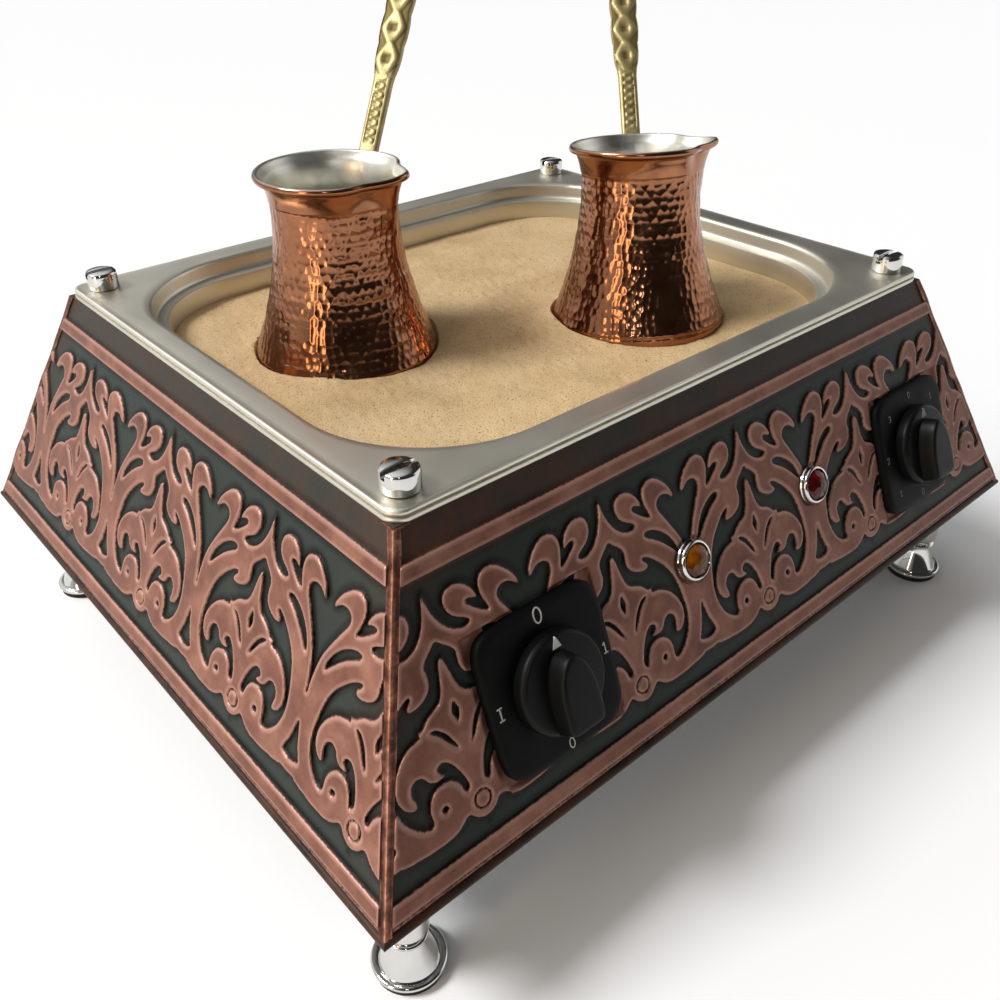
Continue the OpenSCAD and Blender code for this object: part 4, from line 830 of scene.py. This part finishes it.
# Strokes of the dial figures, for a height of 2, drawn upright about their middle
STEM = [(0, -0.95), (0, 0.95)]
FOOT_BAR, HEAD_BAR = [(-0.45, -0.95), (0.45, -0.95)], [(-0.45, 0.95), (0.45, 0.95)]
FIGURES = {
    "0": [oval(0.55, 0.95)],
    "I": [STEM, HEAD_BAR, FOOT_BAR],
    "1": [STEM, [(0, 0.95), (-0.42, 0.5)], FOOT_BAR],
    "2": [[(-0.5, 0.5), (-0.35, 0.82), (0, 0.95), (0.35, 0.82), (0.48, 0.45), (0.3, 0.05), (-0.5, -0.92),
           (0.52, -0.92)]],
    "3": [[(-0.45, 0.7), (-0.1, 0.95), (0.3, 0.85), (0.45, 0.5), (0.2, 0.1), (-0.1, 0.03), (0.25, -0.05),
           (0.5, -0.45), (0.3, -0.85), (-0.1, -0.95), (-0.5, -0.7)]],
}
# Figure, bearing in degrees from the top, radius, half height and half stroke
DIALS = {
    "left": (("0", 0, 26.0, 3.1, 0.32), ("1", 90, 26.0, 2.3, 0.26), ("0", 180, 26.2, 2.1, 0.26),
             ("I", 270, 26.0, 2.5, 0.28)),
    "right": tuple((f, 45 * k, 25.6 if k % 2 == 0 else 27.2, 1.6, 0.17) for k, f in enumerate("01230123")),
}


def knob_grip(cols=128):
    """A grip lofted from arch-shaped rings that taper: half an ellipse above, a soft-cornered box below."""
    half_wide, arch_foot, arch_top, low, boxy = 9.4, -7.0, 13.2, -17.4, 0.3
    angle = around(cols, 0.5)
    c, s = np.cos(angle), np.sin(angle)
    x = half_wide * np.where(s > 0, c, boxed(c, boxy))
    y = arch_foot + np.where(s > 0, (arch_top - arch_foot) * s, (low - arch_foot) * np.abs(s) ** boxy)
    # How far each ring is set in, and its height above the skirt: taper, soft edge, flat top
    inset = np.array([-0.2, 0, 0.3, 0.7, 1.0, 1.4, 2.1, 3.2])[:, None]
    level = np.append([-0.6, 0.4], GRIP_H - np.array([4, 1.8, 0.8, 0.25, 0.03, 0]))[:, None]
    middle, half_long = (arch_top + low) / 2, (arch_top - low) / 2
    x, y = x * (1 - inset / half_wide), middle + (y - middle) * (1 - inset / half_long)
    return points_at(x, y, SKIRT_H + level)


def build_switch(name):
    """A soft-cornered plate with painted figures, and a turned knob with a grip and a painted pointer."""
    where = on_front(SWITCH_X[name], SWITCH_UP)
    half, top = PLATE_W / 2, PLATE_T
    # Half width, roundness and height: underside, side, bevel, top face, shaft hole, nut recess
    rows = [(13.3, 2, 0), (half - 1, 6, 0), (half, 6, 0.3), (half, 6, 2.6), (half - 0.3, 6, 3.4),
            (half - 1.0, 6, 4.05), (half - 2.0, 6, 4.4), (half - 3.2, 6, top), (24, 3, top), (4.4, 2, top),
            (4.0, 2, top - 0.4), (4.0, 2, 3.2), (13.3, 2, 3.2)]
    plate = hoop(soft_rings(*np.array(rows, float).T))
    node = name + "_switch_plate"
    make_piece(node + "_moulding", "heater", "black_plastic", [plate], (node,), 45, where)
    marks = []
    for figure, bearing, radius, size, stroke in DIALS[name]:
        middle = radius * np.array([math.sin(math.radians(bearing)), math.cos(math.radians(bearing))])
        marks += [ribbon(np.array(line) * size + middle, stroke, top - 0.05, top + 0.06)
                  for line in FIGURES[figure]]
    make_piece(name + "_dial_figures", "heater", "black_plastic", marks, (), 30, where, material=PAINT[name])

    profile = [(0.4, 0), (KNOB_R - 0.4, 0), (KNOB_R, 0.5), (KNOB_R - 0.2, 4.4), (KNOB_R - 1.7, SKIRT_H),
               (0.4, SKIRT_H)]
    skirt = turned(rounded(profile, [0.3, 0.3, 1.0, 0.6], 5), 128)
    # Radius, half width and top of the pointer, from its tip to its base
    rows = [(18.9, 0.12, 5.35), (18.2, 0.45, 6.1), (16.6, 1.2, 6.14), (14.4, 2.1, 6.14)]
    y, half_w, high = np.array(rows).T
    low = np.full(4, SKIRT_H - 1.2)
    corners = ((-half_w, low), (half_w, low), (half_w, high), (-half_w, high))
    box = np.stack([points_at(x, y, z) for x, z in corners], 1)
    seat = np.array([0, 0, KNOB_OUT])
    skirt, grip, pointer = (shell(rings + seat) for rings in (skirt, knob_grip(), box))
    dial, node = name + "_dial", name + "_knob"
    make_piece(node + "_moulding", dial, "knob_plastic", [skirt, grip], (node,), 40, where)
    make_piece(node + "_pointer", dial, "knob_plastic", [pointer], (), 30, where, material=PAINT[name])


for switch_name in SWITCH_X:
    build_switch(switch_name)


def build_lamp(name, count=12):
    """A turned bezel ring, and a lens of flat facets: rings of twelve points, some turned by half a step."""
    where = on_front(LAMP_X[name], LAMP_UP)
    ring = [(7.3, 0), (BEZEL_R, 0), (BEZEL_R, 1.3), (8.8, 2.1), (8.7, 3.4), (8.2, 4.3), (7.7, 4.5),
            (7.3, 4.2), (7.2, 2.0), (7.3, 0)]
    bezel = hoop(turned(rounded(ring, [0.2, 0.3, 0.3, 0.3, 0.4, 0.3, 0.2, 0.5], 4)[:-1], 72))
    make_piece(name + "_bezel_ring", "heater", "chrome", [bezel], (name + "_lamp_bezel",), 40, where)
    # Radius, height and share of a step that the ring is turned
    rows = [(6.9, 0.05, 0), (6.9, 4.1, 0), (5.6, 5.6, 0.5), (3.4, 6.6, 0), (1.5, 6.95, 0.5)]
    r, z, shift = np.array(rows).T[..., None]
    angle = around(count, shift)
    lens = shell(points_at(r * np.cos(angle), r * np.sin(angle), z))
    make_piece(name + "_faceted_lens", "heater", name + "_lens", [lens], (name + "_lamp_lens",), 5, where)


for lamp_name in LAMP_X:
    build_lamp(lamp_name)


# Cezves

SPOUT_OUT, SPOUT_UP, SPOUT_DROP, SPOUT_HALF = 2.4, 1.0, 40.0, math.radians(13)
PINCH_IN, PINCH_DROP, PINCH_AT, PINCH_HALF = 3.2, 17.0, math.radians(34), math.radians(15)
BLOW_PITCH, BLOW_DEPTH, BLOW_JITTER, BLOW_ROWS = 3.6, 0.21, 0.3, 40
BAND_STEP, COLLAR_H = 0.3, POT_NECK_H + 3.2
BASE_RING_H, ROLL_DROP = -2.3, 3.0
# Outwards and up from the rim: its rolled edge, from the outside over the top to the inside
RIM_ROLL = ((-0.4, -2.9), (0.6, -2.8), (1.25, -2.2), (1.4, -1.4), (1.15, -0.6), (0.5, -0.05), (-0.2, 0),
            (-0.8, -0.3), (-1.2, -0.9), (-1.4, -1.7))
TIN_FROM = 4

HANDLE_KNOTS = ((30.6, 50), (30.6, 58), (30.6, 66), (32.0, 73.2), (37.1, 80))
BEND_ROWS, HANDLE_TIP = 60, 5.5
BEAD_PITCH, BEAD_LONG, BEAD_HALF, BEAD_OFF, BEAD_H = 4.4, 1.5, 1.35, 1.35, 0.65
BRAID_FROM, BRAID_PITCH, BRAID_BULGE = 35.2, 15.2, 0.7
STRAND_HALF, STRAND_SWING, STRAND_H, STRAND_OVER = 2.35, 4.8, 0.9, 0.2


def pot_radius(h):
    """Outer radius at a height above the sand: a skirt that narrows with the 1.9th power up to the neck, then
    a rim that flares with the square."""
    below = np.clip((POT_NECK_H - np.clip(h, 0, None)) / POT_NECK_H, 0, 1)
    above = np.clip((h - POT_NECK_H) / (POT_H - POT_NECK_H), 0, None)
    return POT_NECK_R + (POT_BASE_R - POT_NECK_R) * below ** 1.9 + (POT_RIM_R - POT_NECK_R) * above ** 2


def hammer_marks(angle, h, seed):
    """Squared distance to the nearest of many blows set in rows round the pot, each a little out of place, as
    a share of the squared pitch: shallow bowls, a little higher than wide, that meet in ridges."""
    rng = np.random.default_rng(seed)
    jitter = rng.uniform(-BLOW_JITTER, BLOW_JITTER, (BLOW_ROWS, 128, 2))
    counts = np.round(2 * np.pi * pot_radius(np.arange(BLOW_ROWS) * BLOW_PITCH) / BLOW_PITCH).astype(int)
    nearest = np.full(angle.shape, np.inf)
    for row_step in (-1, 0, 1):
        row = np.clip(np.floor(h / BLOW_PITCH).astype(int) + row_step, 0, BLOW_ROWS - 1)
        n = counts[row]
        spot = np.floor(angle / (2 * np.pi) * n).astype(int)
        for step in (-1, 0, 1):
            k = (spot + step) % n
            j = jitter[row, k]
            gap = (angle - (k + 0.5 + j[..., 0]) * 2 * np.pi / n + np.pi) % (2 * np.pi) - np.pi
            rise = h / BLOW_PITCH - (row + 0.5 + 0.6 * j[..., 1])
            nearest = np.minimum(nearest, 1.3 * (gap * pot_radius(h) / BLOW_PITCH) ** 2 + 0.7 * rise ** 2)
    return nearest


def build_pot(name, cols=400):
    """A turned shell, outside and inside in one: rounded base, skirt, neck, rolled rim and back down. Hammer
    marks dent the outside between the base ring and the plain band under the rim. A spout bulges out on one
    side and the rim is pinched in on both sides of it: bell curves of the angle that fade down the neck."""
    low = rounded([(4, -POT_BURY), (POT_BASE_R, -POT_BURY), (POT_BASE_R, -2.6)], [6.5], 10)
    h = np.append(np.arange(BASE_RING_H, COLLAR_H, 0.47), np.arange(COLLAR_H, POT_H - ROLL_DROP, 0.9))
    outside = np.stack([pot_radius(h), h], 1)
    h_in = np.append(np.linspace(POT_H - ROLL_DROP, POT_NECK_H, 8), np.linspace(POT_NECK_H - 4, 0, 20))
    inside = np.stack([pot_radius(h_in) - POT_WALL, h_in], 1)
    base = [inside[-1], (POT_BASE_R - POT_WALL, POT_WALL - POT_BURY), (4, POT_WALL - POT_BURY)]
    roll = np.array(RIM_ROLL) + (POT_RIM_R, POT_H)
    profile = np.concatenate([low, outside, roll, inside, rounded(base, 5.0, 8)[1:]])
    r, z = profile.T[..., None]
    row = np.arange(len(profile))[:, None]
    roll_row = len(low) + len(outside)
    angle = np.broadcast_to(around(cols), (len(profile), cols))
    off_spout = (angle - 0.5 * np.pi) % (2 * np.pi) - np.pi
    bulge = np.exp(-(off_spout / SPOUT_HALF) ** 2) * ease(z, POT_H - SPOUT_DROP, POT_H - 3)
    pinch = np.exp(-((np.abs(off_spout) - PINCH_AT) / PINCH_HALF) ** 2) * ease(z, POT_H - PINCH_DROP, POT_H)
    band = ease(z, COLLAR_H - 1.0, COLLAR_H)
    worked = (row < roll_row) * ease(z, BASE_RING_H, -1.0) * (1 - band) * (1 - 0.8 * bulge)
    above_base = np.broadcast_to(np.clip(z + 3, 0, POT_H), angle.shape)
    dents = hammer_marks(angle, above_base, seed=1 if name == "left" else 2)
    r = r - worked * (BAND_STEP + BLOW_DEPTH * (1 - 3.2 * np.clip(dents, 0, 0.5)))
    r = r + SPOUT_OUT * bulge - PINCH_IN * pinch
    r = r + 0.15 * waves(angle * 6, z, 14.0, seed=3) * (z > 4) * (z < POT_H - 5)
    z = z + SPOUT_UP * bulge * ease(z, POT_H - 8, POT_H)
    rings = points_at(r * np.cos(angle), r * np.sin(angle), z)
    tin = np.broadcast_to(ease(row, roll_row + TIN_FROM, roll_row + TIN_FROM + 2), angle.shape)
    body, fields = name + "_cezve", {"tin": np.append(np.ravel(tin), [0.0, 1.0])}
    make_piece(name + "_hammered_pot", body, "hammered_copper", [shell(rings)], (body + "_pot",), 60,
               at_cezve(name), fields)


def handle_path(rows):
    """The handle's middle line, as (outwards, up): a plate on the neck, a bend clear of the rim and a
    straight arm. Gives its points, their normals and their stations, which are 0 where the arm starts."""
    knots = np.array(HANDLE_KNOTS, float)
    reach = np.linspace(0, HANDLE_LEN, 60)[1:]
    arm = knots[-1] + np.outer(reach, [math.cos(HANDLE_RISE), math.sin(HANDLE_RISE)])
    line = rounded(np.concatenate([rounded(knots, 4.5, 7), arm]), 1.5, 3)
    length = np.append(0, np.cumsum(np.linalg.norm(np.diff(line, axis=0), axis=1)))
    keep = np.append(True, np.diff(length) > 1e-6)
    line, length = line[keep], length[keep]
    end = length[-1]
    bend = end - HANDLE_LEN
    on_bend = np.linspace(0, bend, BEND_ROWS, endpoint=False)
    at = np.append(on_bend, np.linspace(bend, end - 0.02, rows - BEND_ROWS))
    path = np.stack([np.interp(at, length, line[:, k]) for k in (0, 1)], 1)
    along = np.gradient(path, at, axis=0)
    along /= np.linalg.norm(along, axis=1)[:, None]
    return path, np.stack([-along[:, 1], along[:, 0]], 1), (at - bend)[:, None]


def handle_carving(s, across, phase, braid):
    """How far a broad face stands out: two rows of beads (half ellipsoids) on the lower arm, then two strands
    (half rounds along soft zigzags of opposite sign, over and under in turn) above a sunk ground."""
    bead, woven = np.zeros(across.shape), np.full(across.shape, -1.0)
    zigzag = 2 / np.pi * np.arcsin(0.96 * np.sin(phase))
    for sign in (1, -1):
        from_bead = ((s / BEAD_PITCH + sign / 4) % 1 - 0.5) * BEAD_PITCH
        off_bead = (from_bead / BEAD_LONG) ** 2 + ((across - sign * BEAD_OFF) / BEAD_HALF) ** 2
        bead = np.maximum(bead, 1 - off_bead)
        rise = np.sqrt(np.clip(1 - ((across - sign * STRAND_SWING * zigzag) / STRAND_HALF) ** 2, 0, 1))
        woven = np.maximum(woven, STRAND_H * rise - 0.5 + sign * STRAND_OVER * np.cos(phase) * (rise > 0))
    beads = BEAD_H * np.sqrt(bead) - 0.3 * (np.abs(across) < BEAD_OFF + BEAD_HALF)
    on_beads = ease(s, 1.5, 3.5) * (1 - ease(s, BRAID_FROM - 4, BRAID_FROM - 1))
    on_braid = braid * (1 - ease(s, HANDLE_LEN - 7, HANDLE_LEN - 3))
    return on_beads * beads + on_braid * np.maximum(woven, -0.6)


def build_handle(name, rows=430, cols=72):
    """A boxy oval section (cosine and sine to small powers) carried up the handle's path, rounded off at the
    tip. Both broad faces are carved, and the edges bulge with the braid's strands."""
    path, normal, s = handle_path(rows)
    start = s[0, 0]
    # Half width and half thickness at stations from the plate's foot to the tip
    stations = [start, start + 1.2, -16, -8, 0, 32, 52, HANDLE_LEN]
    wide = np.interp(s, stations, [4.6, 5.5, 5.5, 4.8, 4.5, 4.6, 6.3, 6.3])
    thick = np.interp(s, [start, -16, -6, 4, HANDLE_LEN], [1.3, 1.3, 1.8, 2.1, 2.1])
    phase = np.pi * (s - BRAID_FROM) / BRAID_PITCH
    braid = ease(s, BRAID_FROM - 3, BRAID_FROM + 5)
    wide = wide + braid * BRAID_BULGE * np.abs(np.sin(phase)) ** 0.8
    past = np.clip(s - (HANDLE_LEN - HANDLE_TIP), 0, None) / (HANDLE_TIP + 0.1)
    tip = np.sqrt(np.clip(1 - past ** 2, 0.004, 1))
    wide, thick = wide * tip, thick * (0.35 + 0.65 * tip)
    angle = around(cols, 0.5)
    across, up = wide * boxed(np.cos(angle), 0.55), thick * boxed(np.sin(angle), 0.4)
    on_face = np.abs(up) > 0.75 * thick
    carve = on_face * handle_carving(s, across, phase, braid)
    up = up + np.sign(up) * carve
    recess = np.clip(-carve / 0.5, 0, 1)
    flat = path[:, None] + up[..., None] * normal[:, None]
    rings = points_at(flat[..., 0], across, flat[..., 1])
    body, fields = name + "_cezve", {"recess": np.append(np.ravel(recess), [0.0, 0.0])}
    make_piece(name + "_cast_handle", body, "cast_brass", [shell(rings)], (body + "_handle",), 55,
               at_cezve(name), fields)


for cezve_name in CEZVES:
    build_pot(cezve_name)
    build_handle(cezve_name)


# Floor, light and camera

FLOOR_HALF = 60.0
# Soft boxes painted on the sky: direction to the middle, cosines where it starts and where it is full, level
SOFT_BOXES = (
    ((-0.30, 0.60, 0.74), 0.55, 0.95, 1.0),
    ((-0.72, 0.66, 0.22), 0.2, 0.9, 0.6),
    ((0.9, -0.3, 0.25), 0.8, 0.95, 1.0),
)
DARK_ROOM = 0.035
LAMPS_AIM = (0, 0, 0.2)
AZIMUTH, ELEVATION, ROLL = -41.25, 33.59, -0.34
CAMERA_AT = (-0.30493, -0.34631, 0.36056)

floor_mesh = bpy.data.meshes.new("studio_floor")
floor_mesh.from_pydata([(x * FLOOR_HALF, y * FLOOR_HALF, 0) for x, y in CORNERS], [], [(0, 1, 2, 3)])
floor = bpy.data.objects.new("studio_floor", floor_mesh)
bpy.context.scene.collection.objects.link(floor)
# Matt paper: white to the eye, in metal and through glass, and grey in the light that it sends back up
paper, paper_tree, paper_shader, *_ = start_material("white_paper", Roughness=0.9)
rays = add(paper_tree, "ShaderNodeLightPath").node.outputs
seen = rays["Is Camera Ray"]
for kind in ("Is Glossy Ray", "Is Transmission Ray"):
    seen = add(paper_tree, MATH, {0: seen, 1: rays[kind]}, operation="MAXIMUM")
tone = add(paper_tree, MIX, {"Factor": seen, A: "#868683", B: "#FBFBFB"}, **COLOURS)
plug(paper_tree, paper_shader, {"Base Color": tone})
floor_mesh.materials.append(paper)

world = bpy.data.worlds.new("soft_studio")
bpy.context.scene.world = world
world.use_nodes = True
sky = world.node_tree
direction = add(sky, COORDS, out="Generated")
glow = DARK_ROOM
for middle, start, full, level in SOFT_BOXES:
    facing = add(sky, DOT, {0: direction, 1: middle}, out="Value", operation="DOT_PRODUCT")
    box_light = add(sky, RANGE, {"Value": facing, LOW: start, HIGH: full, TO_HIGH: level},
                    interpolation_type="SMOOTHSTEP")
    glow = add(sky, MATH, {0: glow, 1: box_light}, operation="MAXIMUM")
plug(sky, sky.nodes["Background"], {"Color": "#FFFFFF", "Strength": glow})


def place_light(name, kind, at, aim, **settings):
    """A light at a point, shining on another, that the camera doesn't see."""
    light = bpy.data.lights.new(name, kind)
    for key, value in settings.items():
        setattr(light, key, value)
    obj = bpy.data.objects.new(name, light)
    obj.location = at
    obj.rotation_mode = "QUATERNION"
    obj.rotation_quaternion = (Vector(at) - Vector(aim)).to_track_quat("Z", "Y")
    obj.visible_camera = False
    bpy.context.scene.collection.objects.link(obj)


place_light("key_light", "SUN", (-0.55, 0.35, 0.76), (0, 0, 0), energy=2.6, angle=math.radians(20))
place_light("strip_lamp", "AREA", (-1.35, -0.30, 0.45), LAMPS_AIM, energy=3.6, color=(1.0, 0.72, 0.44),
            shape="RECTANGLE", size=0.2, size_y=0.9)
place_light("round_lamp", "AREA", (-0.80, -0.76, 0.90), LAMPS_AIM, energy=0.7, shape="DISK", size=0.12)

camera = bpy.data.cameras.new("photo_view")
camera.lens, camera.sensor_width = 35.13, 36.0
camera_obj = bpy.data.objects.new("photo_view", camera)
bpy.context.scene.collection.objects.link(camera_obj)
aim = turn("Z", AZIMUTH) @ turn("X", 90 - ELEVATION) @ turn("Z", ROLL)
camera_obj.matrix_world = Matrix.Translation(CAMERA_AT) @ Matrix(aim.tolist()).to_4x4()
bpy.context.scene.camera = camera_obj
bpy.context.scene.view_settings.view_transform = "Standard"
